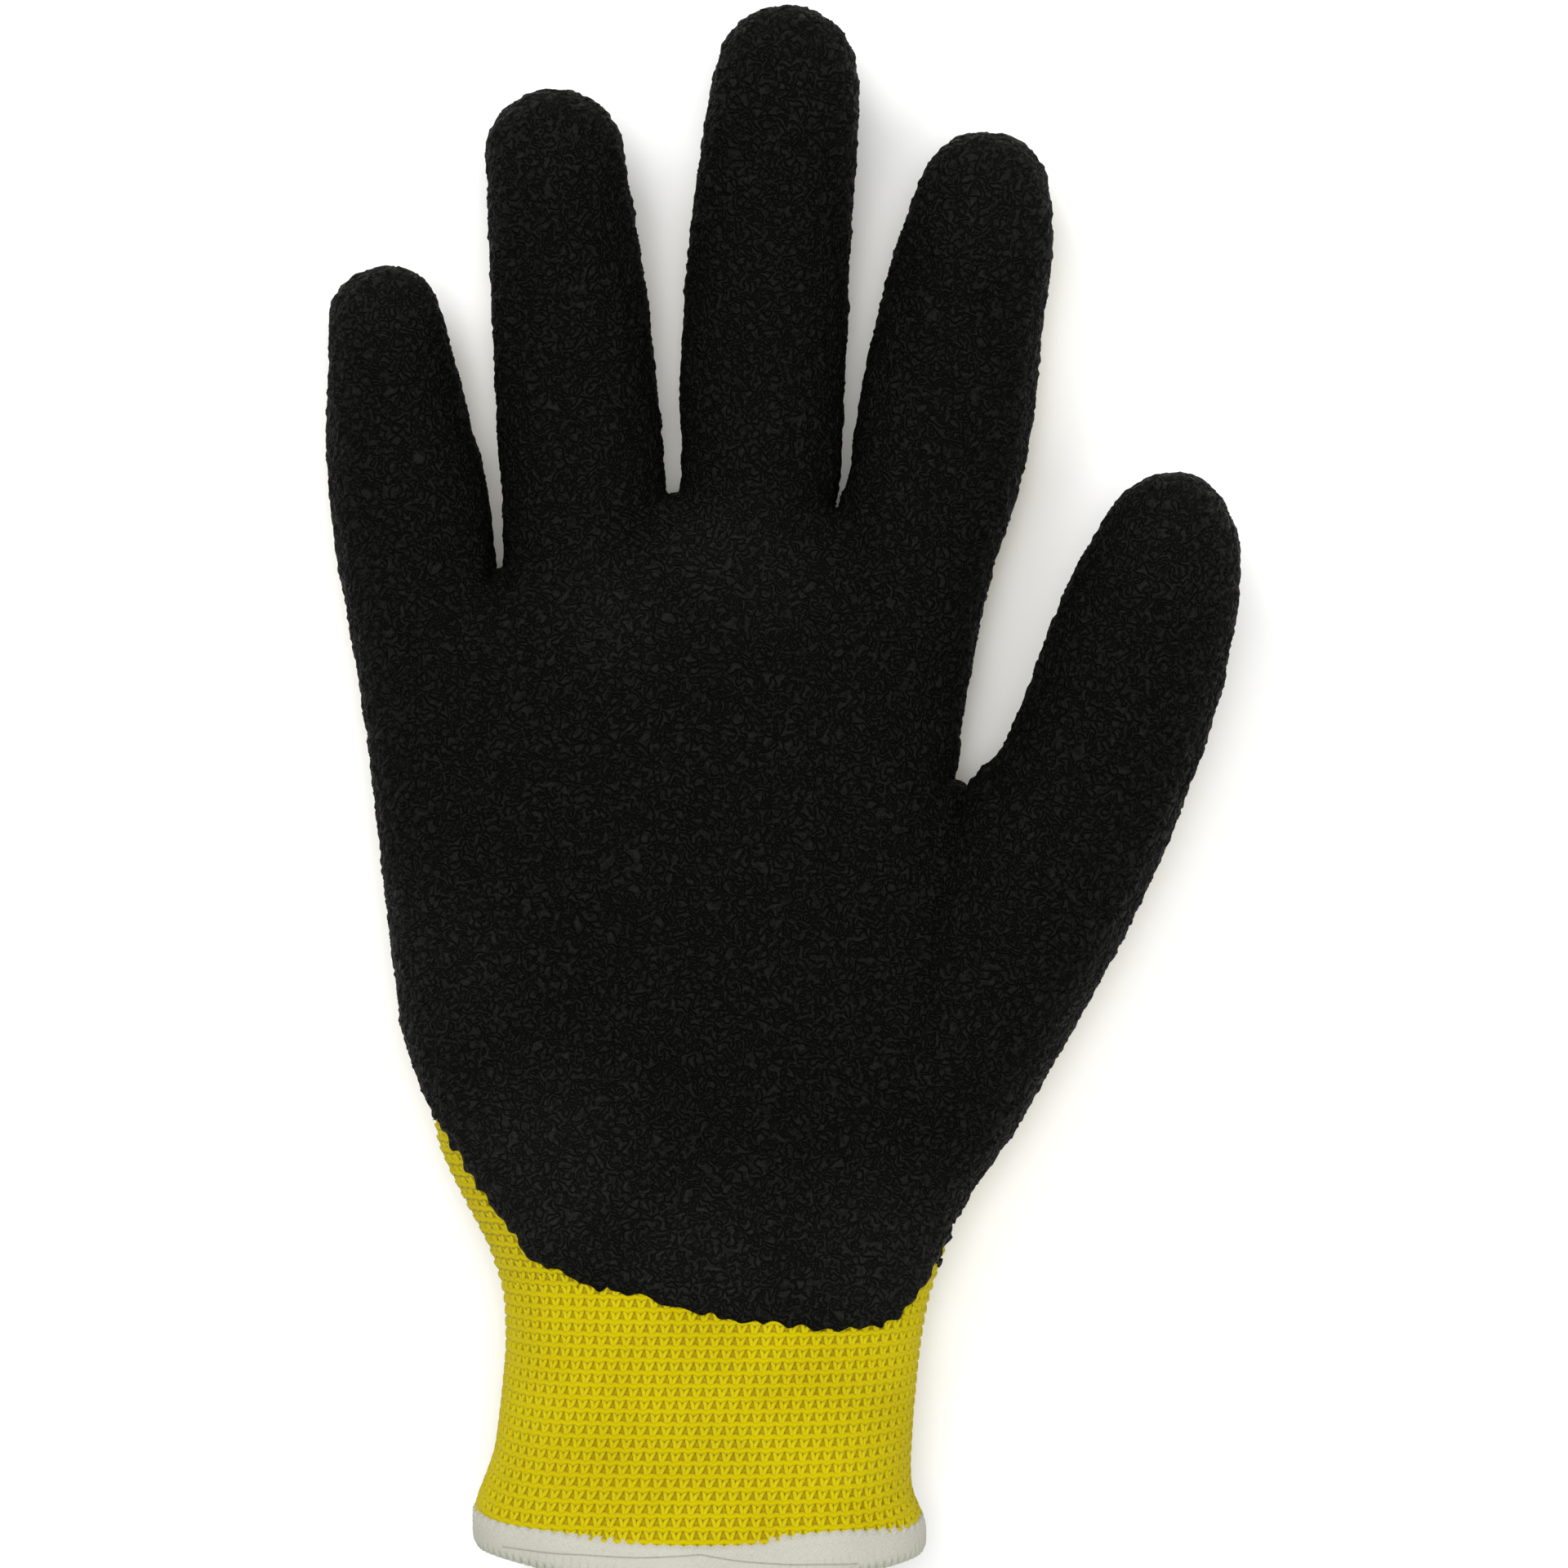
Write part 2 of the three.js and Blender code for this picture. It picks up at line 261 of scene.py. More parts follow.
class Nodes:
    """Builds a node tree, shader or geometry, one node at a time."""

    def __init__(self, tree: bpy.types.NodeTree) -> None:
        """Starts an empty tree."""
        self.tree = tree
        tree.nodes.clear()

    def add(self, kind: str, inputs: dict | None = None, **settings: object) -> bpy.types.Node:
        """Adds a node.

        Args:
            kind: the node's type.
            inputs: a value or another node's output for each input, by name or number.
            settings: the node's own settings.

        Returns:
            The new node.
        """
        node = self.tree.nodes.new(kind)
        for name, value in settings.items():
            setattr(node, name, value)
        self.give(node, inputs or {})
        return node

    def give(self, node: bpy.types.Node, inputs: dict) -> None:
        """Sets inputs of a node to values or to other nodes' outputs."""
        for key, value in inputs.items():
            if isinstance(value, bpy.types.NodeSocket):
                self.tree.links.new(value, node.inputs[key])
            else:
                node.inputs[key].default_value = value

    def math(self, operation: str, *values: object) -> bpy.types.NodeSocket:
        """The result of a Math node on numbers or outputs."""
        return self.add("ShaderNodeMath", dict(enumerate(values)), operation=operation).outputs[0]

    def vector(self, operation: str, *values: object) -> bpy.types.NodeSocket:
        """The result of a Vector Math node on vectors or outputs."""
        return self.add("ShaderNodeVectorMath", dict(enumerate(values)), operation=operation).outputs[0]

    def scaled(self, vector: object, by: object) -> bpy.types.NodeSocket:
        """A vector or colour times a number."""
        return self.add("ShaderNodeVectorMath", {0: vector, "Scale": by}, operation="SCALE").outputs[0]

    def noise(
        self, place: object, per_mm: float, detail: float = 2.0, roughness: float = 0.5
    ) -> bpy.types.Node:
        """A noise texture.

        Args:
            place: the output that gives the place, in metres.
            per_mm: how many bumps it has in a millimetre.
            detail: how many finer layers it has.
            roughness: how strong the finer layers are.

        Returns:
            The texture's node.
        """
        inputs = {"Vector": place, "Scale": per_mm / MM, "Detail": detail, "Roughness": roughness}
        return self.add("ShaderNodeTexNoise", inputs)

    def ramp(self, value: object, *stops: tuple[float, tuple[float, float, float]]) -> bpy.types.NodeSocket:
        """Colours along a value."""
        node = self.add("ShaderNodeValToRGB", {0: value})
        elements = node.color_ramp.elements
        while len(elements) < len(stops):
            elements.new(0.5)
        for element, (place, colour) in zip(elements, stops):
            element.position = place
            element.color = (*colour, 1.0)
        return node.outputs["Color"]

    def range(self, value: object, *ends: float) -> bpy.types.NodeSocket:
        """Maps a range of values, given by its two ends, smoothly onto another."""
        inputs = dict(enumerate([value, *ends]))
        return self.add("ShaderNodeMapRange", inputs, interpolation_type="SMOOTHSTEP").outputs[0]

    def bump(self, height: object, distance: float, strength: float = 1.0) -> bpy.types.NodeSocket:
        """A relief that is only shaded, from its height and its depth in millimetres."""
        inputs = {"Height": height, "Strength": strength, "Distance": distance * MM}
        return self.add("ShaderNodeBump", inputs).outputs[0]


@dataclass(frozen=True)
class Crinkle:
    """The latex's wrinkles: soft curled ridges with narrow creases between them.

    Sizes are in millimetres. crease and roundness shape the way up from a crease to the ridges.
    """

    bend_size: float = 1.6
    bend: float = 0.8
    size: float = 1.15
    crease: float = 0.21
    roundness: float = 0.72

    def height(self, nodes: Nodes, place: object) -> bpy.types.NodeSocket:
        """Height of the ridges at a place, from 0 in the creases to 1 on the ridges."""
        bends = nodes.noise(place, 1 / self.bend_size, detail=0.0)
        shift = nodes.vector("SUBTRACT", bends.outputs["Color"], (0.5, 0.5, 0.5))
        moved = nodes.vector("MULTIPLY_ADD", shift, (2 * self.bend * MM,) * 3, place)
        maze = nodes.noise(moved, 1 / self.size, detail=1.0, roughness=0.5).outputs["Fac"]
        rise = nodes.math("ABSOLUTE", nodes.math("SUBTRACT", maze, 0.5))
        full = nodes.math("MINIMUM", nodes.math("DIVIDE", rise, self.crease), 1.0)
        return nodes.math("POWER", full, self.roundness)


@dataclass(frozen=True)
class Finish:
    """A surface: how it is coloured and how its fine relief runs."""

    name: str
    slot: Slot

    def start(self) -> tuple[bpy.types.Material, Nodes, bpy.types.Node, bpy.types.NodeSocket]:
        """A new material with its shader, and the place on the piece that patterns read."""
        material = bpy.data.materials.new(self.name)
        material.use_nodes = True
        nodes = Nodes(material.node_tree)
        shader = nodes.add("ShaderNodeBsdfPrincipled")
        nodes.add("ShaderNodeOutputMaterial", {"Surface": shader.outputs[0]})
        place = nodes.add("ShaderNodeTexCoord").outputs["Object"]
        return material, nodes, shader, place

    def material(self) -> bpy.types.Material:
        """The finish as a material."""
        raise NotImplementedError


@dataclass(frozen=True)
class YarnFinish(Finish):
    """Soft spun yarn: a matte colour with paler and darker fibres."""

    shade: tuple[float, float, float] = (0.465, 0.383, 0.0005)
    dark: tuple[float, float, float] = (0.395, 0.31, 0.0005)
    fuzz: float = 0.05
    sheen: float = 0.05
    patches_per_mm: float = 0.09
    fibres_per_mm: float = 3.2
    patch_share: float = 0.35
    ramp: tuple[float, float] = (0.32, 0.58)

    def material(self) -> bpy.types.Material:
        """The yarn as a material."""
        material, nodes, shader, place = self.start()
        patches = nodes.noise(place, self.patches_per_mm, detail=2.0).outputs["Fac"]
        fibres = nodes.noise(place, self.fibres_per_mm, detail=3.0, roughness=0.6).outputs["Fac"]
        patches = nodes.math("MULTIPLY", patches, self.patch_share)
        blend = nodes.math("MULTIPLY_ADD", fibres, 1.0 - self.patch_share, patches)
        inputs = {
            "Base Color": nodes.ramp(blend, (self.ramp[0], self.dark), (self.ramp[1], self.shade)),
            "Roughness": 0.82,
            "Sheen Weight": self.sheen,
            "Sheen Roughness": 0.5,
            "Specular IOR Level": 0.015,
            "Normal": nodes.bump(fibres, self.fuzz, strength=0.5),
        }
        nodes.give(shader, inputs)
        return material


@dataclass(frozen=True)
class LatexFinish(Finish):
    """Near-black latex: matte, with shade painted dark in its creases, faintly lit ridges and highlights
    painted paler in patches.
    """

    crinkle: Crinkle = field(default_factory=Crinkle)
    # Painted shade: the colour darkens from the ridges down into the creases
    crease_shade: tuple[float, float, float] = (0.0024, 0.0024, 0.0020)
    ridge: tuple[float, float, float] = (0.0058, 0.0059, 0.0052)
    shine: tuple[float, float] = (0.02, 0.05)
    highlight_strength: float = 0.45
    relief: float = 0.60
    grain_per_mm: float = 2.2
    grain_share: float = 0.3
    ridge_share: float = 0.85

    def material(self) -> bpy.types.Material:
        """The latex as a material."""
        material, nodes, shader, place = self.start()
        ridges = nodes.math("MULTIPLY", self.crinkle.height(nodes, place), self.ridge_share)
        grain = nodes.noise(place, self.grain_per_mm, detail=2.0).outputs["Fac"]
        height = nodes.math("MULTIPLY_ADD", grain, self.grain_share, ridges)
        # Painted shade: darker colour down in the creases, the latex's own near-black on the ridges
        colour = nodes.ramp(height, (0.25, self.crease_shade), (0.75, self.ridge))
        # Painted highlights: paler colour and stronger reflection in patches
        pale = nodes.add("ShaderNodeAttribute", attribute_name="pale").outputs["Fac"]
        gain = nodes.math("MULTIPLY_ADD", pale, self.highlight_strength, 1.0)
        inputs = {
            "Base Color": nodes.scaled(colour, gain),
            "Specular IOR Level": nodes.math("MULTIPLY", nodes.range(height, 0.3, 1.0, *self.shine), gain),
            "Roughness": 0.55,
            "Normal": nodes.bump(height, self.relief),
        }
        nodes.give(shader, inputs)
        return material


YELLOW_YARN = YarnFinish("yellow yarn", Slot.KNIT)
# A paler copy of the ridges' yarn for the loops: a painted highlight on the loops
HIGHLIT_LOOP_YARN = YarnFinish(
    "highlit yellow yarn", Slot.KNIT, (0.495, 0.423, 0.002), (0.41, 0.338, 0.001), sheen=0.08
)
# The ground that shows in the pits between loops is darker and more orange than the yarn: painted shade in
# the pits
SHADED_GROUND = YarnFinish("shaded yellow ground", Slot.KNIT, (0.41, 0.30, 0.0005), (0.31, 0.21, 0.0005), 0.2, 0.0)
WHITE_YARN = YarnFinish("white yarn", Slot.BINDING, (0.46, 0.45, 0.395), (0.41, 0.40, 0.34))
# The wraps round the cuff's edge are darker and greener than the band: painted shade where the edge curves
# away
SHADED_WRAP = YarnFinish("shaded white wrap", Slot.BINDING, (0.41, 0.42, 0.35), (0.35, 0.36, 0.29))
WHITE_GROUND = YarnFinish("white ground", Slot.BINDING, (0.44, 0.43, 0.37), (0.38, 0.37, 0.31), fuzz=0.1)
GREY_THREAD = YarnFinish("grey thread", Slot.BINDING, (0.33, 0.34, 0.31), (0.27, 0.28, 0.25), fuzz=0.03)
BLACK_LATEX = LatexFinish("black latex", Slot.LATEX)


def finish_piece(piece: bpy.types.Object, finish: Finish, *nodes: str) -> None:
    """Gives a piece its material, and lets it ride in place of CAD nodes.

    Args:
        piece: the finished mesh.
        finish: its surface.
        nodes: the CAD nodes that it stands for.
    """
    piece.data.materials.clear()
    piece.data.materials.append(finish.material())
    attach(piece, BODY)
    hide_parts(*nodes)
    log.info("%s: %d triangles", piece.name, triangles(piece))


@dataclass
class DipLine:
    """Where the latex covers the hand, from the levels that the hand was dipped to."""

    # Edge across the palm side of the wrist, little-finger side first: x, y
    wrist: Rows = (
        (-70.0, -44.0), (-56.6, -50.4), (-52.0, -57.3), (-46.8, -64.5), (-41.6, -72.9), (-37.0, -76.8),
        (-28.6, -78.7), (-17.2, -81.7), (-7.8, -83.5), (3.0, -84.7), (13.0, -86.0), (18.0, -84.1),
        (21.2, -80.4), (24.8, -74.2), (29.3, -66.3), (44.0, -56.0),
    )
    # Level of the lower edge, from the cuff to the fingertips: y, level, rise on the thumb's side
    levels: Rows = (
        (-100.0, 16.5, 0.0), (-66.0, 16.0, 1.5), (-48.0, 12.5, 3.0), (-28.0, 9.0, 4.5), (10.0, 7.8, 6.0),
        (60.0, 7.8, 8.5), (130.0, 8.6, 8.5),
    )
    thumb_side: tuple[float, float] = (24.0, 62.0)
    # How far the edge's small scallops and its larger lobes reach, at the wrist and elsewhere
    wrist_ragged: tuple[float, float] = (1.5, 0.8)
    level_ragged: tuple[float, float] = (0.35, 0.45)

    def inside(self, points: Array) -> Array:
        """How far inside the latex each point lies.

        Args:
            points: points of the hand, in millimetres.

        Returns:
            Millimetres from the edge, positive under the latex.
        """
        x, y, z = points.T
        wrist, levels = np.array(self.wrist).T, np.array(self.levels)
        slope = (np.interp(x + 1.0, *wrist) - np.interp(x - 1.0, *wrist)) / 2.0
        beyond_wrist = (y - np.interp(x, *wrist)) / np.hypot(1.0, slope)
        level, rise = rows_between(y, levels[:, 0], levels[:, 1:]).T
        share = np.clip((x - self.thumb_side[0]) / np.ptp(self.thumb_side), 0.0, 1.0)
        above_level = z - (level + rise * share)
        stitch = roughness_of(points, 2.0, seed=3.1)
        lobe = roughness_of(points, 6.5, seed=9.4)
        beyond_wrist = beyond_wrist + self.wrist_ragged[0] * stitch + self.wrist_ragged[1] * lobe
        above_level = above_level + self.level_ragged[0] * stitch + self.level_ragged[1] * lobe
        return np.minimum(beyond_wrist, above_level)


@dataclass(frozen=True)
class OutlineEdge:
    """A stretch of the outline seen from above, where the smooth form is brought to its true place.

    facing is -1 for a left side and 1 for a right side. rows hold y, x and how far the side moves out,
    all in millimetres, from the fingertips to the cuff. fade is how far the move runs on past the rows;
    it holds up to near from the side and ends at far.
    """

    facing: int
    rows: Rows
    fade: float = 4.0
    near: float = 4.0
    far: float = 9.0

    def move(self, points: Array, outward: Array) -> Array:
        """How far each point of the form moves across the hand.

        Args:
            points: points of the hand, in millimetres.
            outward: the form's normals there.

        Returns:
            Millimetres towards the thumb.
        """
        rows = np.array(self.rows)[::-1]
        first, last = rows[0], rows[-1]
        ends = (first[0] - self.fade, first[1], 0.0), (last[0] + self.fade, last[1], 0.0)
        rows = np.vstack([ends[0], rows, ends[1]])
        x, out = rows_between(points[:, 1], rows[:, 0], rows[:, 1:]).T
        share = 1.0 - smoothstep(self.near, self.far, np.abs(points[:, 0] - x))
        return self.facing * out * share * np.clip(self.facing * outward[:, 0], 0.0, 1.0)


OUTLINE = (
    OutlineEdge(
        -1,
        (
            (84.0, -66.8, 0.3), (78.0, -70.8, 0.6), (68.0, -72.1, 0.2), (58.0, -72.2, 0.6),
            (34.0, -70.2, 0.6), (26.0, -68.9, 0.3), (-34.0, -61.3, 0.2), (-38.0, -60.5, 0.7),
            (-43.0, -59.3, 0.3), (-50.0, -57.8, -0.7), (-58.0, -54.3, 0.2), (-66.0, -50.8, 0.0),
            (-74.0, -47.0, -0.3), (-98.0, -45.3, -0.3), (-106.0, -46.4, -0.5), (-110.0, -47.2, 0.2),
            (-114.0, -48.3, 0.9), (-132.0, -48.5, 1.3),
        ),
    ),
    OutlineEdge(1, ((82.0, -60.0, 1.2), (78.0, -55.8, 0.1), (66.0, -51.8, -0.4), (56.0, -49.0, -0.4))),
    OutlineEdge(-1, ((106.0, -44.9, 0.7), (102.0, -46.4, 0.9), (96.0, -46.8, 0.4), (50.0, -45.1, 0.2))),
    OutlineEdge(1, ((110.0, -33.1, 0.6), (104.0, -27.4, 1.0), (96.0, -25.0, 0.3), (88.0, -23.6, 0.0))),
    OutlineEdge(1, ((120.0, 8.5, 0.2), (112.0, 11.4, 0.4), (102.0, 11.6, 0.1), (80.0, 10.9, -0.3))),
    OutlineEdge(-1, ((102.0, 25.9, -0.5), (96.0, 21.4, -0.4), (88.0, 18.4, 0.0))),
    OutlineEdge(-1, ((58.0, -16.9, -0.3), (54.0, -17.0, -0.6), (46.0, -17.2, -0.6))),
    OutlineEdge(1, ((50.0, 9.2, -0.5), (44.0, 8.9, -0.5))),
    OutlineEdge(-1, ((50.0, 10.2, 0.6), (44.0, 9.8, 0.6))),
    OutlineEdge(
        1,
        (
            (102.0, 37.3, 1.0), (97.0, 41.2, 0.2), (84.0, 41.7, 0.9), (72.0, 40.7, 0.2),
            (62.0, 39.5, 0.6), (46.0, 36.8, 0.4), (36.0, 34.3, -0.4), (26.0, 31.6, -0.1),
            (18.0, 30.6, 0.3), (10.0, 30.3, 0.0), (6.0, 30.2, -0.2), (3.0, 30.2, -0.9),
            (-1.0, 30.2, -2.2),
        ),
    ),
    OutlineEdge(
        -1,
        (
            (46.0, 54.4, 0.7), (36.0, 48.5, 1.3), (28.0, 44.2, 0.8), (21.0, 41.0, 0.0),
            (14.0, 37.7, -0.6), (6.0, 33.9, -1.1),
        ),
    ),
    OutlineEdge(
        1,
        (
            (48.0, 68.4, -2.4), (42.0, 72.8, -1.7), (36.0, 73.2, -0.6), (18.0, 70.6, -0.3),
            (6.0, 66.5, 0.5), (-2.0, 63.5, 0.5), (-26.0, 52.9, 0.3), (-50.0, 39.9, 0.0),
            (-66.0, 29.8, -0.6), (-78.0, 23.6, 0.5), (-88.0, 21.8, 0.0), (-112.5, 20.1, -0.1),
            (-116.0, 20.9, 1.1), (-132.0, 20.9, 1.2),
        ),
    ),
)


@dataclass(frozen=True)
class WebEdge:
    """The bottom of a gap between two digits, brought to its true place along the hand.

    x and y are the middle of the smooth form's bottom, out how far it moves towards the fingertips. The
    move holds over half_width to each side and fades over soft, and it ends above and below the bottom.
    """

    x: float
    y: float
    out: float
    half_width: float = 1.9
    soft: float = 2.2
    above: float = 9.0
    below: float = 14.0

    def move(self, points: Array) -> Array:
        """How far each point of the form moves along the hand, in millimetres."""
        aside = np.abs(points[:, 0] - self.x)
        beside = 1.0 - smoothstep(self.half_width, self.half_width + self.soft, aside)
        past = points[:, 1] - self.y
        above = 1.0 - smoothstep(0.0, self.above, past)
        below = 1.0 - smoothstep(0.0, self.below, -past)
        return self.out * beside * np.where(past > 0.0, above, below)


FINGER_WEBS = (WebEdge(-45.4, 39.6, -4.3), WebEdge(-18.0, 46.6, 0.1), WebEdge(9.6, 51.7, -4.0))
THUMB_WEBS = (
    WebEdge(29.2, -3.1, 2.6, half_width=3.0),
    WebEdge(29.0, -0.4, 2.1, half_width=0.2, above=3.0, below=8.0),
    WebEdge(26.6, 1.0, -0.9, half_width=0.2, above=6.0, below=6.0),
)


@dataclass
class HandForm:
    """The hand shape that every piece follows: the liner's outer surface, dense and smooth."""

    voxel: float = 0.66 * MM
    smoothing: int = 60
    regrow: float = 0.34 * MM
    rim_zone: float = -0.105
    rim_facing: float = -0.6
    run_out: float = 0.012

    def build(self) -> None:
        """Makes the smooth surface and the tree that rays are cast at."""
        form = new_object("hand_form", new_mesh("hand_form", self._outer_shell()))
        remesh = form.modifiers.new("dense", "REMESH")
        remesh.mode = "VOXEL"
        remesh.voxel_size = self.voxel
        smooth = form.modifiers.new("smooth", "SMOOTH")
        smooth.factor = 0.5
        smooth.iterations = self.smoothing
        form = settle(form)
        self.mesh = form.data
        set_positions(self.mesh, positions(self.mesh) + self.regrow * normals(self.mesh))
        self._true_outline()
        shade_smooth(self.mesh)
        self.points = positions(self.mesh)
        self.normals = normals(self.mesh)
        graph = bpy.context.evaluated_depsgraph_get()
        self.tree = BVHTree.FromObject(form, graph)
        bpy.data.objects.remove(form)
        log.info("hand form: %d faces", len(self.mesh.polygons))

    def _true_outline(self) -> None:
        """Brings the sides of the form to their true places."""
        points, outward = to_hand(positions(self.mesh)), normals(self.mesh)
        points[:, 0] += sum(edge.move(points, outward) for edge in OUTLINE)
        points[:, 1] += sum(web.move(points) for web in FINGER_WEBS + THUMB_WEBS)
        set_positions(self.mesh, to_frame(points))

    def _outer_shell(self) -> bmesh.types.BMesh:
        """The outer surface of the liner's solid, run out past the cuff and closed there."""
        shell = bmesh.new()
        shell.from_mesh(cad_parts["knit_liner"].data)
        bmesh.ops.remove_doubles(shell, verts=shell.verts, dist=1e-6)
        shell.normal_update()
        facing = [face for face in shell.faces if face.normal.y < self.rim_facing]
        rim = [face for face in facing if face.calc_center_median().y < self.rim_zone]
        bmesh.ops.delete(shell, geom=rim, context="FACES")
        outer = patch_of(max(shell.verts, key=lambda vert: vert.co.y))
        inner = [vert for vert in shell.verts if vert not in outer]
        bmesh.ops.delete(shell, geom=inner, context="VERTS")
        bmesh.ops.translate(shell, verts=grow_edge(shell), vec=(0.0, -self.run_out, 0.0))
        bmesh.ops.holes_fill(shell, edges=open_edge(shell), sides=0)
        bmesh.ops.recalc_face_normals(shell, faces=shell.faces)
        return shell

    def cast(self, start: Array, direction: Array) -> tuple[Array, Array]:
        """Where a ray from inside leaves the form.

        Args:
            start: a point inside, in metres.
            direction: which way it goes.

        Returns:
            The point and the outward normal there, or not-a-number where it misses.
        """
        hit, normal, _, _ = self.tree.ray_cast(Vector(start), Vector(direction))
        if hit is None:
            return np.full(3, np.nan), np.full(3, np.nan)
        return np.array(hit), np.array(normal)

    def cast_all(self, starts: Iterable[Array], directions: Iterable[Array]) -> tuple[Array, Array]:
        """Where several rays leave the form, and the outward normals there."""
        hits = [self.cast(start, direction) for start, direction in zip(starts, directions)]
        return np.array([hit[0] for hit in hits]), np.array([hit[1] for hit in hits])

    def section(self, y: float, starts: Sequence[float], z: float, angles: Array) -> tuple[Array, Array]:
        """Where rays across the hand leave the form, along one course with its sag.

        Args:
            y: the course's place along the hand, in millimetres.
            starts: each ray's start across the hand, in millimetres.
            z: their height, in millimetres.
            angles: which way the rays go, from the thumb's side up towards the palm's.

        Returns:
            The points and the outward normals there.
        """
        sag = sag_at(y)
        return self.cast_all(
            [to_frame([x, y - sag * math.sin(angle), z]) for x, angle in zip(starts, angles)],
            [(math.cos(angle), 0.0, math.sin(angle)) for angle in angles],
        )


@dataclass(frozen=True)
class Loop:
    """One loop of purl-faced knit: the yarn's middle line within its cell."""

    squeeze: float = 0.085
    lean: float = 0.0
    reach: float = 0.58
    depth: float = 0.04 * MM
    sunk: float = 0.42 * MM
    points: int = 8

    def path(self) -> tuple[Array, Array, Array]:
        """The yarn's way through one cell.

        Returns:
            Across the cell from -0.5 to 0.5, along it in courses, and outwards in metres.
        """
        turn = np.linspace(0.0, 2.0 * math.pi, self.points, endpoint=False)
        across = turn / (2.0 * math.pi) - 0.5 - self.squeeze * np.sin(turn) + self.lean * np.sin(2.0 * turn)
        return across, -self.reach * np.cos(turn), self.depth * np.cos(2.0 * turn) - self.sunk


@dataclass(frozen=True)
class Ridge(Loop):
    """The strand along a course's ridge, which dips under each loop's foot."""

    swing: float = 0.09
    points: int = 4

    def path(self) -> tuple[Array, Array, Array]:
        """The strand's way through one cell.

        Returns:
            Across the cell from -0.5 to 0.5, along it in courses, and outwards in metres.
        """
        turn = np.linspace(0.0, 2.0 * math.pi, self.points, endpoint=False)
        across = turn / (2.0 * math.pi) - 0.5
        return across, -0.5 - self.swing * np.cos(turn), np.full(self.points, -self.sunk)


@dataclass
class Fabric:
    """A stretch of the surface, laid out in courses and wales.

    points and outward hold a place and a normal for each course (row) and each half wale (column).
    around is the number of stitches of a course that goes right round, or 0.
    """

    points: Array
    outward: Array
    first_wale: float
    around: int = 0

    def at(self, course: Array, wale: Array) -> tuple[Array, Array]:
        """Places and normals between the grid's own, by course and wale."""
        if self.around:
            wale = (wale + self.around / 2.0) % self.around - self.around / 2.0
        column = np.clip((wale - self.first_wale) * 2.0, 0.0, self.points.shape[1] - 1.001)
        row = np.clip(course, 0.0, self.points.shape[0] - 1.001)
        return grid_between(self.points, row, column), grid_between(self.outward, row, column)


@dataclass
class Knitter:
    """Knits yarn over a fabric's layout, wherever the latex leaves it bare."""

    loop: Loop
    yarn: float = 0.34 * MM
    sides_step: int = 0
    unevenness: float = 0.05
    shortest: int = 2

    def runs(self, keep: Array) -> list[tuple[int, int]]:
        """Stretches of stitches that are kept, as first and last."""
        padded = np.concatenate(([False], keep, [False])).astype(int)
        change = np.flatnonzero(np.diff(padded))
        return [(int(a), int(b)) for a, b in zip(change[::2], change[1::2])]

    def courses(
        self,
        fabric: Fabric,
        wales: Iterable[int],
        rows: Iterable[int],
        keep: Callable[[Array], Array],
        closed: Callable[[int], bool] = lambda row: False,
    ) -> list[tuple[Array, bool]]:
        """The yarn's middle lines, one for each unbroken stretch of a course.

        Args:
            fabric: the layout.
            wales: the stitches of a course, by wale.
            rows: the courses.
            keep: tells which stitches are knitted, from their middles in millimetres.
            closed: tells whether a course goes right round.

        Returns:
            A list of point rows, in metres, each with whether it closes on itself.
        """
        wales = np.array(list(wales), float)
        across, along, out = self.loop.path()
        lines = []
        for row in rows:
            middle, _ = fabric.at(np.full(len(wales), float(row)), wales)
            kept = np.isfinite(middle).all(1)
            kept[kept] = keep(to_hand(middle[kept]))
            if closed(row) and kept.all():
                lines.append((self._yarn(fabric, row, wales, across, along, out), True))
                continue
            turn = int(np.argmin(kept)) if fabric.around else 0
            own = np.concatenate([wales[turn:], wales[:turn] + fabric.around])
            for first, last in self.runs(np.roll(kept, -turn)):
                if last - first >= self.shortest:
                    line = self._yarn(fabric, row, own[first:last], across, along, out)
                    lines.append((line, False))
        return lines

    def _yarn(
        self, fabric: Fabric, row: int, wales: Array, across: Array, along: Array, out: Array
    ) -> Array:
        """The yarn's middle line over some stitches of one course."""
        wale = (wales[:, None] + across).ravel()
        course = (row + np.tile(along, len(wales))).astype(float)
        place, outward = fabric.at(course, wale)
        wander = roughness_of(to_hand(place), 1.6, seed=row * 0.37)
        height = np.tile(out, len(wales)) + self.unevenness * MM * wander
        return place + outward * height[:, None]

    def knit(self, name: str, lines: list[tuple[Array, bool]]) -> bpy.types.Object:
        """Turns middle lines into yarn.

        Args:
            name: the piece's name.
            lines: the yarn's middle lines.

        Returns:
            The yarn as one mesh object.
        """
        curve = bpy.data.curves.new(name, "CURVE")
        curve.dimensions = "3D"
        curve.bevel_depth = self.yarn
        curve.bevel_resolution = self.sides_step
        for points, closed in lines:
            good = points[np.isfinite(points).all(1)]
            if len(good) < 3:
                continue
            spline = curve.splines.new("POLY")
            spline.points.add(len(good) - 1)
            spline.points.foreach_set("co", np.c_[good, np.ones(len(good))].ravel())
            spline.use_cyclic_u = closed
        piece = settle(new_object(name, curve))
        shade_smooth(piece.data)
        return piece


# The plane that parts the thumb from the hand, through their web
THUMB_WEB = (29.9, 1.0)
THUMB_WAY = (0.41, 0.91)

# Where the fingers' knit parts: x of the little, ring and middle fingers' webs, and y where all have ended
LITTLE_WEB, RING_WEB, MIDDLE_WEB = -45.4, -18.1, 9.4
WEBS_END = 52.0

# Where the little finger's own knit starts, and that of the other fingers
FINGER_ROOTS = (course_at(82), course_at(88))


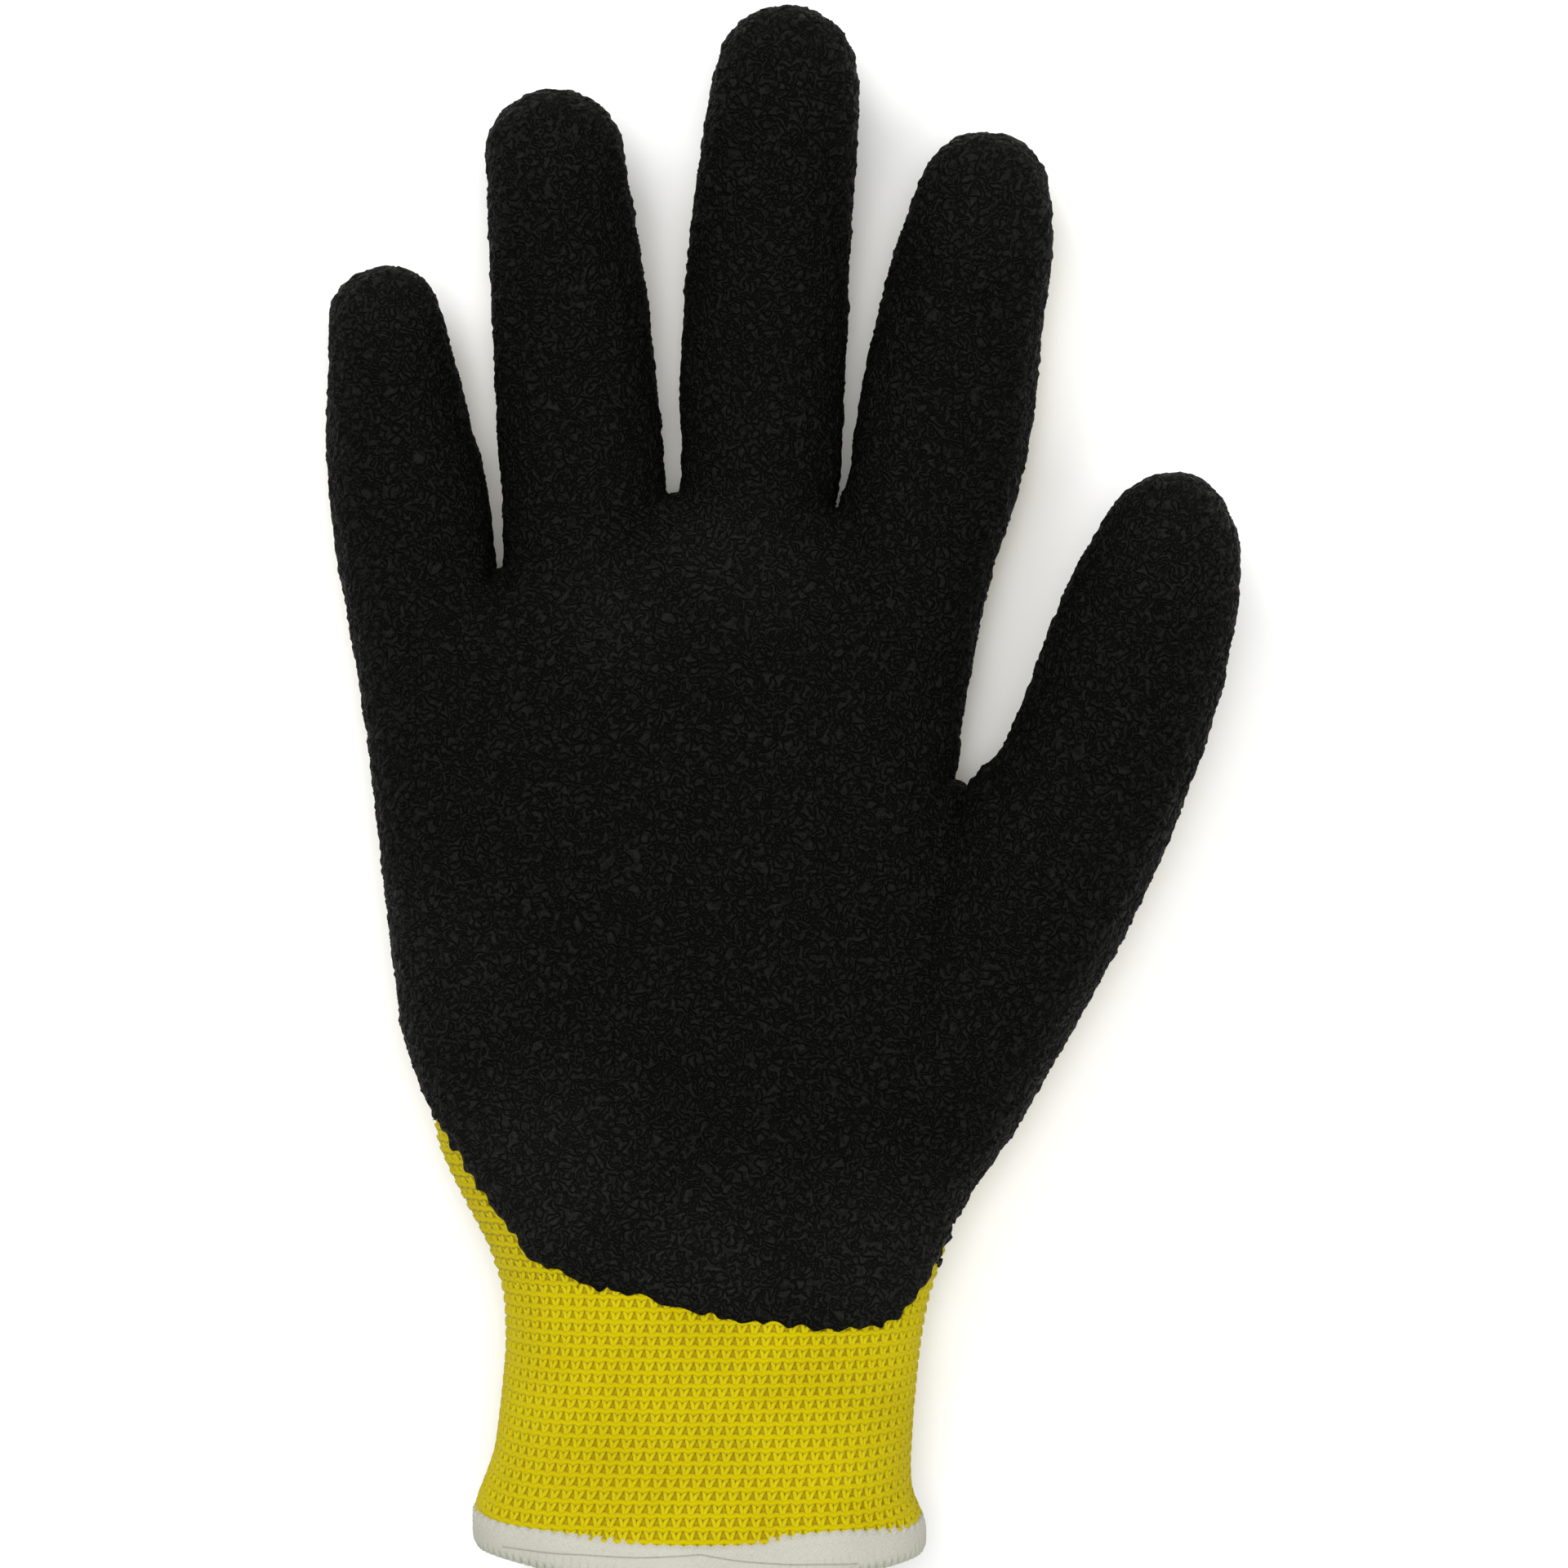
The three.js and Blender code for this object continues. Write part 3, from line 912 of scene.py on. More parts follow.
@dataclass
class HandLayout:
    """Courses and wales of the cuff, wrist and back of the hand.

    widest_wale limits how wide a stitch gets, last is where the courses end, and inset how far in from the
    sides the rays turn, all in millimetres.
    """

    form: HandForm
    around: int = 85
    widest_wale: float = 2.3
    last: float = 47.5
    rays: int = 240
    inset: float = 11.0
    # Courses before a finger's root from which its part runs on straight, and how many do
    run_on_from: float = 1.5
    run_on: int = 2

    def build(self) -> Fabric:
        """Lays the courses out along the form.

        Returns:
            The layout, whose wale 0 runs up the middle of the back.
        """
        self.rows = np.arange(course_at(-2), self.last, COURSE)
        half = self.around / 2.0 + 2.0
        self.wales = np.arange(-half, half + 0.25, 0.5)
        points = np.empty((len(self.rows), len(self.wales), 3))
        outward = np.empty_like(points)
        for i, y in enumerate(self.rows):
            points[i], outward[i] = self._course(y)
        self._run_on(points, outward)
        return Fabric(points, outward, self.wales[0], self.around)

    def _run_on(self, points: Array, outward: Array) -> None:
        """Runs the courses on straight past the roots of the fingers, where the hand parts."""
        for root, edge in zip(FINGER_ROOTS, (LITTLE_WEB, math.inf)):
            last = int(np.searchsorted(self.rows, root - self.run_on_from * COURSE)) - 1
            part = to_hand(points[last])[:, 0] < edge
            for i in range(last + 1, min(last + 1 + self.run_on, len(self.rows))):
                step = (0.0, (i - last) * COURSE * MM, 0.0)
                points[i, part] = points[last, part] + step
                outward[i, part] = outward[last, part]

    def _course(self, y: float) -> tuple[Array, Array]:
        """Places and normals at each half wale of one course."""
        x, z = rows_between(y, SECTION_MIDDLES[:, 0], SECTION_MIDDLES[:, 1:])
        sides = [to_hand(self.form.cast(to_frame([x, y, z]), (way, 0.0, 0.0))[0]) for way in (-1.0, 1.0)]
        left, right = sides[0][0] + self.inset, sides[1][0] - self.inset
        # Rays run from the palm's middle round the little finger's side, the back and the thumb's side
        n, down, up = self.rays // 6, -0.5 * math.pi, 0.5 * math.pi
        first = down - math.pi
        ends = [(x, left), (left, left), (left, x), (x, right), (right, right), (right, x)]
        turns = [(first, first), (first, down), (down, down), (down, down), (down, up), (up, up)]
        starts = np.concatenate([np.linspace(*pair, n) for pair in ends])
        angles = np.concatenate([np.linspace(*pair, n) for pair in turns])
        place, normal = self.form.section(y, starts, z, angles)
        length = lengths_along(place)
        if y < FINGER_ROOTS[0] - COURSE:
            self.pitch = min(length[-1] / self.around, self.widest_wale * MM)
        reach = (length[3 * n] + self.wales * self.pitch) % length[-1]
        return rows_between(reach, length, place), rows_between(reach, length, normal)


@dataclass(frozen=True)
class Digit:
    """A finger or the thumb: its middle line, how wide it is and how many stitches go around.

    start_way is square to its first course, and sides are the x limits of its knit below the webs.
    """

    name: str
    line: Rows
    width: float
    around: int
    start_way: tuple[float, float, float] = (0.0, 1.0, 0.0)
    sides: tuple[float, float] = (-90.0, 90.0)


@dataclass
class DigitLayout:
    """Courses and wales of one finger or thumb.

    Over turned_by its courses turn from start_way to its own line, whose way is read look ahead and back,
    both in millimetres. A ray that goes further than widest of the digit's width has missed it.
    """

    form: HandForm
    digit: Digit
    rays: int = 96
    turned_by: float = 14.0
    look: float = 4.0
    widest: float = 0.72

    def build(self) -> Fabric:
        """Lays the courses out along the digit.

        Returns:
            The layout, whose wale 0 runs up the middle of the digit's back.
        """
        self.axis = np.array(self.digit.line)
        self.start_way = np.array(self.digit.start_way)
        span = lengths_along(self.axis)
        self.places = np.arange(-COURSE, span[-1] + self.digit.width / 2.0, COURSE)
        half = self.digit.around / 2.0 + 1.0
        self.wales = np.arange(-half, half + 0.25, 0.5)
        points = np.empty((len(self.places), len(self.wales), 3))
        outward = np.empty_like(points)
        for i, place in enumerate(self.places):
            points[i], outward[i] = self._course(place, span)
        return Fabric(points, outward, self.wales[0])

    def _on_axis(self, place: float, span: Array) -> Array:
        """A point of the digit's middle line, which runs on straight past its ends."""
        inside = rows_between(place, span, self.axis)
        over = max(0.0, place - span[-1])
        last = self.axis[-1] - self.axis[-2]
        return inside + over * last / np.linalg.norm(last) + min(0.0, place) * self.start_way

    def _course(self, place: float, span: Array) -> tuple[Array, Array]:
        """Places and normals at each half wale of one course."""
        centre = self._on_axis(place, span)
        ahead, behind = place + self.look, max(0.0, place - self.look)
        along = self._on_axis(ahead, span) - self._on_axis(behind, span)
        along /= np.linalg.norm(along)
        turned = float(smoothstep(0.0, self.turned_by, np.array(place)))
        along = turned * along + (1.0 - turned) * self.start_way
        along /= np.linalg.norm(along)
        across = np.cross(along, (0.0, 0.0, 1.0))
        across /= np.linalg.norm(across)
        up = np.cross(across, along)
        angles = np.linspace(-1.5 * math.pi, 0.5 * math.pi, self.rays + 1)
        ways = [math.cos(angle) * across + math.sin(angle) * up for angle in angles]
        spot, normal = self.form.cast_all([to_frame(centre)] * len(ways), ways)
        far = np.linalg.norm(to_hand(spot) - centre, axis=1) > self.widest * self.digit.width
        spot[far] = np.nan
        turn = -0.5 * math.pi + self.wales * 2.0 * math.pi / self.digit.around
        turn = (turn - angles[0]) % (2.0 * math.pi) + angles[0]
        return rows_between(turn, angles, spot), rows_between(turn, angles, normal)


# Middle lines run from root to tip, in millimetres
DIGITS = (
    Digit(
        "little",
        ((-59.0, FINGER_ROOTS[0], 11.5), (-60.7, 52.0, 11.9), (-61.9, 62.4, 13.2), (-63.4, 73.8, 15.2)),
        width=23.0,
        around=32,
        sides=(-90.0, LITTLE_WEB),
    ),
    Digit(
        "ring",
        ((-32.0, FINGER_ROOTS[1], 11.8), (-33.3, 67.6, 12.6), (-34.3, 79.0, 13.8), (-36.6, 100.4, 17.5)),
        width=24.5,
        around=34,
        sides=(LITTLE_WEB, RING_WEB),
    ),
    Digit(
        "middle",
        ((-4.2, FINGER_ROOTS[1], 11.9), (-3.2, 69.0, 12.6), (-2.6, 80.0, 13.7), (0.3, 112.6, 19.2)),
        width=24.5,
        around=34,
        sides=(RING_WEB, MIDDLE_WEB),
    ),
    Digit(
        "index",
        ((22.5, FINGER_ROOTS[1], 12.0), (26.1, 62.4, 12.5), (27.9, 73.0, 13.5), (31.6, 93.2, 16.6)),
        width=25.5,
        around=35,
        sides=(MIDDLE_WEB, 90.0),
    ),
    Digit(
        "thumb",
        ((41.0, -14.6, 18.4), (45.6, -5.2, 19.2), (56.4, 21.0, 22.6), (62.0, 38.4, 25.6)),
        width=29.5,
        around=38,
        start_way=(*THUMB_WAY, 0.0),
    ),
)


@dataclass(frozen=True)
class Strand:
    """One strand of the knit: its path near the cuff and, with fewer points, elsewhere."""

    name: str
    near: Loop
    far: Loop
    yarn: float
    finish: YarnFinish


KNIT_STRANDS = (
    Strand("knit_loops", Loop(points=8), Loop(points=7), 0.40 * MM, HIGHLIT_LOOP_YARN),
    Strand("knit_ridges", Ridge(sunk=0.26 * MM), Ridge(sunk=0.26 * MM), 0.50 * MM, YELLOW_YARN),
)


@dataclass
class KnitLiner:
    """The knitted liner: yarn loops where it shows, over a closely knitted ground."""

    form: HandForm
    dip: DipLine
    ground_depth: float = 0.60 * MM
    ground_wall: float = 1.14 * MM
    ground_share: float = 0.09
    # How far above the cuff's end the ground stops, and where the cuff's knit gives way to the hand's
    ground_end: float = 3.0
    cuff_top: float = -79.0
    # How far the knit runs on under the latex
    under_latex: float = 1.4
    # Past the thumb's web: where the hand's knit ends, where the thumb's starts, how far aside it counts
    hand_ends: float = 0.4
    thumb_starts: float = -0.6
    thumb_aside: float = 4.0
    # Beside a finger's web no stitch is knitted this near, up to web_turn courses past the root and beyond
    web_near: tuple[float, float] = (2.3, 3.6)
    web_turn: float = -0.3
    web_courses: tuple[float, float] = (-1.2, 1.5)

    def build(self) -> None:
        """Makes the ground, the cuff, the back of the hand and the backs of the digits."""
        finish_piece(self._ground(), SHADED_GROUND, "knit_liner")
        layout = HandLayout(self.form)
        fabric = layout.build()
        half = layout.around // 2
        wales = range(-half, half + 1)
        split = int(np.searchsorted(layout.rows, self.cuff_top))
        first = int(np.searchsorted(layout.rows, BINDING_TOP))
        digits = [(digit, DigitLayout(self.form, digit).build()) for digit in DIGITS]
        for style in KNIT_STRANDS:
            near = Knitter(style.near, yarn=style.yarn, sides_step=1)
            far = Knitter(style.far, yarn=style.yarn)
            cuff = near.courses(fabric, wales, range(first - 1, split), self._bare, lambda row: True)
            back = far.courses(fabric, wales, range(split, len(layout.rows)), self._bare_hand)
            fingers = []
            for digit, knit in digits:
                keep = self._bare_thumb if digit.name == "thumb" else partial(self._bare_finger, digit)
                own = range(-(digit.around // 2), digit.around // 2 + 1)
                fingers += far.courses(knit, own, range(1, len(knit.points) - 1), keep)
            parts = ((near, "cuff", cuff), (far, "back", back), (far, "digits", fingers))
            for knitter, part, lines in parts:
                finish_piece(knitter.knit(f"{style.name}_{part}", lines), style.finish, "knit_liner")

    def _bare(self, middles: Array) -> Array:
        """Whether stitches are bare of latex, or just under its edge."""
        return self.dip.inside(middles) < self.under_latex

    def _past_thumb_web(self, middles: Array) -> Array:
        """How far past the web stitches lie on the thumb's side, in millimetres."""
        past = (middles[:, :2] - THUMB_WEB) @ THUMB_WAY
        return np.where(middles[:, 0] > THUMB_WEB[0] - self.thumb_aside, past, -1.0)

    def _bare_hand(self, middles: Array) -> Array:
        """Whether stitches belong to the hand and are bare."""
        root = np.where(middles[:, 0] < LITTLE_WEB, FINGER_ROOTS[0], FINGER_ROOTS[1])
        thumb = (self._past_thumb_web(middles) >= self.hand_ends) & (middles[:, 1] < THUMB_WEB[1])
        own = (middles[:, 1] < root - 0.5 * COURSE) & ~thumb & ~self._over_web(middles)
        return own & self._bare(middles)

    def _over_web(self, middles: Array) -> Array:
        """Whether stitches would hang over the web between two fingers."""
        x, y = middles[:, 0], middles[:, 1]
        near, widest = self.web_near
        aside = np.min([np.abs(x - web.x) for web in FINGER_WEBS], axis=0)
        past = (y - np.where(x < LITTLE_WEB + widest, *FINGER_ROOTS)) / COURSE
        level = (past > self.web_courses[0]) & (past < self.web_courses[1])
        return level & (aside < np.where(past > self.web_turn, widest, near))

    def _bare_finger(self, digit: Digit, middles: Array) -> Array:
        """Whether stitches belong to a finger and are bare."""
        x, y = middles[:, 0], middles[:, 1]
        own = (y > WEBS_END) | ((x > digit.sides[0]) & (x < digit.sides[1]))
        return own & self._bare(middles)

    def _bare_thumb(self, middles: Array) -> Array:
        """Whether stitches belong to the thumb and are bare."""
        return (self._past_thumb_web(middles) >= self.thumb_starts) & self._bare(middles)

    def _ground(self) -> bpy.types.Object:
        """The ground fabric: a thin wall, open at the cuff."""
        ground = new_object("knit_ground", self.form.mesh.copy())
        set_positions(ground.data, self.form.points - self.ground_depth * self.form.normals)
        thin = ground.modifiers.new("thin", "DECIMATE")
        thin.ratio = self.ground_share
        ground = settle(ground)
        end = to_frame([0.0, CUFF_END + self.ground_end, SECTION_MIDDLES[0][2]])
        way = Vector((0.0, 1.0, sag_at(CUFF_END) / HALF_HEIGHT))
        with editing(ground.data) as work:
            everything = work.verts[:] + work.edges[:] + work.faces[:]
            bmesh.ops.bisect_plane(work, geom=everything, plane_co=end, plane_no=way, clear_inner=True)
        wall = ground.modifiers.new("wall", "SOLIDIFY")
        wall.thickness = self.ground_wall
        wall.offset = -1.0
        ground = settle(ground)
        shade_smooth(ground.data)
        return ground


# Painted highlights, where the latex is coloured paler: place on the hand, how far it reaches, both in
# millimetres, and how strongly
PAINTED_HIGHLIGHTS = (
    ((-62.0, 80.0), 16.0, 0.7), ((-36.5, 107.0), 20.0, 0.5), ((0.5, 120.0), 22.0, 0.4),
    ((33.0, 99.0), 24.0, 0.6), ((62.0, 44.0), 22.0, 0.6), ((-13.0, 38.0), 13.0, 0.8),
    ((-27.0, 28.0), 15.0, 0.6), ((-4.0, 34.0), 16.0, 0.5), ((-58.0, -30.0), 24.0, 0.6),
    ((-40.0, -62.0), 28.0, 1.1), ((-14.0, -78.0), 26.0, 0.9), ((14.0, -76.0), 24.0, 0.9),
)


@dataclass
class LatexCoating:
    """The latex skin: it follows the hand, ends in a ragged rounded edge and is crinkled all over."""

    form: HandForm
    dip: DipLine
    thickness: float = 1.08 * MM
    edge_height: float = 0.30 * MM
    edge_width: float = 1.3
    # Height of the larger wrinkles, how far apart they lie, and the level of theirs that stays in place
    lumps: float = 0.42 * MM
    lump_size: float = 2.6
    level: float = 1.4
    tuck: float = 0.9 * MM
    # Towards the wrist the wrinkles weaken: between which places along the hand, and to what share
    calm: tuple[float, float] = (-88.0, -55.0)
    calm_relief: float = 0.55
    pale_core: float = 0.2

    def build(self) -> None:
        """Makes the skin."""
        inside = self.dip.inside(to_hand(self.form.points))
        skin = self._covered(inside)
        points, outward = positions(skin), normals(skin)
        inside = self.dip.inside(to_hand(points))
        edge = self._edge_verts(skin)
        for _ in range(3):
            points[edge] = self._onto_edge(points[edge], outward[edge])
        set_positions(skin, points)
        self._even_edge(skin)
        points = positions(skin)
        inside[edge] = 0.0
        share = smoothstep(-0.2, self.edge_width, inside)
        height = self.edge_height + (self.thickness - self.edge_height) * share
        set_positions(skin, points + outward * height[:, None])
        self._mark(skin, share)
        piece = new_object("latex_skin", skin)
        self._crinkle(piece)
        piece = settle(piece)
        self._tuck_edge(piece)
        shade_smooth(piece.data)
        finish_piece(piece, BLACK_LATEX, "latex_coating")

    def _covered(self, inside: Array) -> bpy.types.Mesh:
        """The part of the hand form under the latex."""
        mesh = self.form.mesh.copy()
        wet = inside > 0.0
        with editing(mesh) as work:
            dry = [face for face in work.faces if not any(wet[vert.index] for vert in face.verts)]
            bmesh.ops.delete(work, geom=dry, context="FACES")
            self._drop_islands(work)
        mesh.name = "latex_skin"
        return mesh

    def _drop_islands(self, work: bmesh.types.BMesh) -> None:
        """Keeps only the largest patch of a surface."""
        left = set(work.verts)
        patches = []
        while left:
            patches.append(patch_of(next(iter(left))))
            left -= patches[-1]
        patches.sort(key=len)
        stray = [vert for patch in patches[:-1] for vert in patch]
        bmesh.ops.delete(work, geom=stray, context="VERTS")

    def _edge_verts(self, mesh: bpy.types.Mesh) -> Array:
        """Indices of the vertices on a mesh's open edge."""
        work = bmesh.new()
        work.from_mesh(mesh)
        found = np.array([vert.index for vert in work.verts if vert.is_boundary])
        work.free()
        return found

    def _even_edge(self, mesh: bpy.types.Mesh) -> None:
        """Evens out the open edge, so that no corner of it sticks out."""
        with editing(mesh) as work:
            for _ in range(2):
                evened = {}
                for vert in work.verts:
                    if vert.is_boundary:
                        beside = [edge.other_vert(vert).co for edge in vert.link_edges if edge.is_boundary]
                        evened[vert] = 0.5 * vert.co + 0.5 * sum(beside, Vector()) / len(beside)
                for vert, place in evened.items():
                    vert.co = place

    def _onto_edge(self, points: Array, outward: Array) -> Array:
        """Slides points along the surface towards the edge line of the latex."""
        step, least_steep, furthest = 0.15, 0.35, 0.5
        hand = to_hand(points)
        here = self.dip.inside(hand)
        changes = [(self.dip.inside(hand + step * axis) - here) / step for axis in np.eye(3)]
        change = np.stack(changes, axis=1)
        change -= outward * (change * outward).sum(1, keepdims=True)
        steep = np.maximum((change * change).sum(1, keepdims=True), least_steep)
        slide = np.clip(-here[:, None] * change / steep, -furthest, furthest)
        return points + slide * MM

    def _mark(self, mesh: bpy.types.Mesh, share: Array) -> None:
        """Stores how strongly each vertex is crinkled, and how much paler it is coloured as a painted
        highlight.
        """
        hand = to_hand(positions(mesh))
        full = smoothstep(*self.calm, hand[:, 1])
        relief = share * (self.calm_relief + (1.0 - self.calm_relief) * full)
        # Painted highlights: patches where the latex is coloured paler
        pale = np.zeros(len(hand))
        for (x, y), reach, strength in PAINTED_HIGHLIGHTS:
            away = np.hypot(hand[:, 0] - x, hand[:, 1] - y)
            pale = np.maximum(pale, strength * (1.0 - smoothstep(self.pale_core * reach, reach, away)))
        for name, values in {"relief": relief, "pale": pale}.items():
            layer = mesh.attributes.new(name, "FLOAT", "POINT")
            layer.data.foreach_set("value", values.astype(np.float32))

    def _crinkle(self, piece: bpy.types.Object) -> None:
        """Raises the larger wrinkles in the skin's own surface."""
        tree = bpy.data.node_groups.new("crinkle", "GeometryNodeTree")
        for way in ("INPUT", "OUTPUT"):
            tree.interface.new_socket("Geometry", in_out=way, socket_type="NodeSocketGeometry")
        nodes = Nodes(tree)
        given = nodes.add("NodeGroupInput").outputs[0]
        place = nodes.add("GeometryNodeInputPosition").outputs[0]
        outward = nodes.add("GeometryNodeInputNormal").outputs[0]
        relief = nodes.add("GeometryNodeInputNamedAttribute", {"Name": "relief"}, data_type="FLOAT")
        ridges = BLACK_LATEX.crinkle.height(nodes, place)
        lumps = nodes.noise(place, 1 / self.lump_size, detail=1.0).outputs["Fac"]
        height = nodes.math("SUBTRACT", nodes.math("MULTIPLY_ADD", lumps, 2.0, ridges), self.level)
        height = nodes.math("MULTIPLY", nodes.math("MULTIPLY", height, relief.outputs[0]), self.lumps)
        inputs = {"Geometry": given, "Offset": nodes.scaled(outward, height)}
        moved = nodes.add("GeometryNodeSetPosition", inputs)
        nodes.add("NodeGroupOutput", {0: moved.outputs[0]})
        piece.modifiers.new("crinkle", "NODES").node_group = tree

    def _tuck_edge(self, piece: bpy.types.Object) -> None:
        """Turns the open edge down onto the knit."""
        with editing(piece.data) as work:
            work.normal_update()
            outward = {vert: vert.normal.copy() for edge in open_edge(work) for vert in edge.verts}
            for vert in grow_edge(work):
                beside = (edge.other_vert(vert) for edge in vert.link_edges)
                source = next(other for other in beside if other in outward)
                vert.co -= outward[source] * self.tuck


# Steps in the level where the binding starts: how high in millimetres, and from where to where across it
SEAM_STEP = (0.4, -3.6, -0.4)
THUMB_STEP = (-1.5, 6.0, 20.0)
BACK_STEP = (-1.1, -45.0, 18.0)


def binding_rise(points: Array) -> Array:
    """How much higher than its usual level the binding starts, in millimetres.

    On the palm side it steps up a little where its seam ends, and it comes down towards the thumb's side.

    Args:
        points: points of the hand, in millimetres.

    Returns:
        One value for each point.
    """
    x, _, z = points.T
    steps = (SEAM_STEP, THUMB_STEP, BACK_STEP)
    seam, thumb, back = (height * smoothstep(*ends, x) for height, *ends in steps)
    return np.where(z > HALF_HEIGHT, seam + thumb, back)


@dataclass
class CuffBinding:
    """The overlocked edge of the cuff: a pale band, its stitches, its wraps and one grey thread."""

    form: HandForm
    proud: float = 0.45
    wall: float = 1.8
    columns: int = 340
    rows: int = 22
    rays: int = 340
    wales: int = 85
    tooth: float = 0.9
    # Shares of the band's way in which its teeth and its two lips fade out
    tooth_ends: float = 0.13
    lips: tuple[float, float] = (0.06, 0.92)
    # Little finger's side of the cuff, where the edge slants up
    slant: float = 1.1
    slant_ends: tuple[float, float] = (-46.0, -27.0)
    # Threads round the edge: how far round the section they go, how deep they start and where they are up,
    # how far outside the band's own skin they lie, and how unevenly in height and place
    wraps: int = 128
    wrap_ends: tuple[float, float] = (0.20, 0.93)
    wrap_dives: tuple[float, float] = (0.4, 0.28)
    wrap_swell: float = -0.67
    wrap_uneven: tuple[float, float] = (0.05, 0.0016)
    stitch_course: float = 1.12
    stitch_rows: int = 2
    stitch_start: float = 1.3
    stitch_height: float = 0.26
    # Grey thread: from where to where it shows, its depth below the band's top by place, and how it lies
    thread_shows: tuple[float, float, float] = (-43.8, 11.0, 20.0)
    thread_places: tuple[float, ...] = (-48.0, -31.0, -13.0, 0.0, 12.0)
    thread_depths: tuple[float, ...] = (4.9, 3.0, 1.6, 3.8, 5.4)
    thread_wander: float = 0.24
    thread_height: float = 0.12
    thread_points: int = 620

    def build(self) -> None:
        """Makes the band and its threads."""
        self._trace()
        finish_piece(self._band(), WHITE_GROUND, "cuff_binding")
        wrap = Knitter(Loop(), yarn=0.78 * MM, sides_step=1)
        finish_piece(wrap.knit("binding_wraps", self._wraps()), SHADED_WRAP, "cuff_binding")
        small = Knitter(Loop(), yarn=0.22 * MM, sides_step=1)
        finish_piece(small.knit("binding_stitches", self._stitches()), WHITE_YARN, "cuff_binding")
        line = Knitter(Loop(), yarn=0.07 * MM)
        finish_piece(line.knit("binding_thread", [self._thread()]), GREY_THREAD, "cuff_binding")

    def _trace(self) -> None:
        """Traces the cuff's section and its outward direction, once for all the threads."""
        self.angles = np.linspace(-1.5 * math.pi, 0.5 * math.pi, self.rays + 1)
        self.levels = np.array([CUFF_END, (BINDING_TOP + CUFF_END) / 2.0, BINDING_TOP, BINDING_TOP + 4.0])
        _, x, z = SECTION_MIDDLES[0]
        starts = [x] * len(self.angles)
        rings = [self.form.section(y, starts, z, self.angles) for y in self.levels]
        self.points = np.array([ring[0] for ring in rings])
        self.outward = np.array([ring[1] for ring in rings])
        self.length = lengths_along(self.points[2])

    def _surface(self, share: Array, y: Array, out: Array) -> Array:
        """Points round the cuff.

        Args:
            share: how far round, from 0 to 1.
            y: place along the hand, before the sag, in millimetres.
            out: height over the knit, in millimetres.

        Returns:
            Points of the frame.
        """
        where = np.interp((share % 1.0) * self.length[-1], self.length, self.angles)
        column = (where - self.angles[0]) / (self.angles[1] - self.angles[0])
        row = np.interp(y, self.levels, np.arange(len(self.levels), dtype=float))
        place, outward = (grid_between(grid, row, column) for grid in (self.points, self.outward))
        outward[:, 1] = 0.0
        outward /= np.linalg.norm(outward, axis=1)[:, None]
        past = np.minimum(y - CUFF_END, 0.0)
        low = np.clip((BINDING_TOP - y) / (BINDING_TOP - CUFF_END), 0.0, 1.0)
        slant = self.slant * low * (1.0 - smoothstep(*self.slant_ends, to_hand(place)[:, 0]))
        place[:, 1] += (past + slant) * MM
        return place + outward * (np.asarray(out) * MM)[:, None]

    def _risen(self, share: Array, y: Array) -> Array:
        """Raises places of the binding's upper part with its edge."""
        rise = binding_rise(to_hand(self._surface(share, y, np.zeros(len(y)))))
        return y + rise * smoothstep(CUFF_END + 1.5, BINDING_TOP - 1.0, y)

    def _profile(self, turn: Array, swell: float = 0.0) -> tuple[Array, Array]:
        """The binding's section: from its outer top, round the cuff's edge, to its inner top.

        Args:
            turn: how far round the section, from 0 to 1.
            swell: how far outside the band's own skin, in millimetres.

        Returns:
            Place along the hand and height over the knit, in millimetres.
        """
        half = (2.0 * self.proud + self.wall) / 2.0 + swell
        centre = self.proud - half + swell
        length = BINDING_TOP - CUFF_END - half
        arc = math.pi * half
        walk = turn * (2.0 * length + arc)
        bend = np.clip((walk - length) / half, 0.0, math.pi)
        straight = np.where(walk < length, length - walk, np.maximum(walk - length - arc, 0.0))
        y = CUFF_END + half + straight - half * np.sin(bend)
        return y, centre + half * np.cos(bend)

    def _band(self) -> bpy.types.Object:
        """The band under the threads."""
        work = bmesh.new()
        bmesh.ops.create_grid(work, x_segments=self.columns, y_segments=self.rows, size=0.5)
        grid = np.array([vert.co for vert in work.verts])
        share, turn = grid[:, 0] + 0.5, grid[:, 1] + 0.5
        y, out = self._profile(turn)
        tooth = np.abs((share * self.wales) % 1.0 - 0.5) * 2.0
        y = y + self.tooth * (0.5 - tooth) * (1.0 - smoothstep(0.0, self.tooth_ends, turn))
        lip = 1.0 - smoothstep(0.0, self.lips[0], turn) + 0.5 * smoothstep(self.lips[1], 1.0, turn)
        placed = self._surface(share, self._risen(share, y), out - lip)
        for vert, place in zip(work.verts, placed):
            vert.co = place
        bmesh.ops.remove_doubles(work, verts=work.verts, dist=1e-6)
        bmesh.ops.recalc_face_normals(work, faces=work.faces)
        mesh = new_mesh("binding_band", work)
        shade_smooth(mesh)
        return new_object("binding_band", mesh)

    def _wraps(self) -> list[tuple[Array, bool]]:
        """Threads that wrap the edge, side by side."""
        lines = []
        turn = np.linspace(*self.wrap_ends, 15)
        depth, dived = self.wrap_dives
        for i in range(self.wraps):
            uneven = noise.noise(Vector((i * 0.7, 0.0, 4.0)))
            y, out = self._profile(turn, swell=self.wrap_swell + self.wrap_uneven[0] * uneven)
            out = out - depth * (1.0 - smoothstep(self.wrap_ends[0], dived, turn))
            share = np.full(len(turn), i / self.wraps) + self.wrap_uneven[1] * uneven
            lines.append((self._surface(share, y, out), False))
        return lines

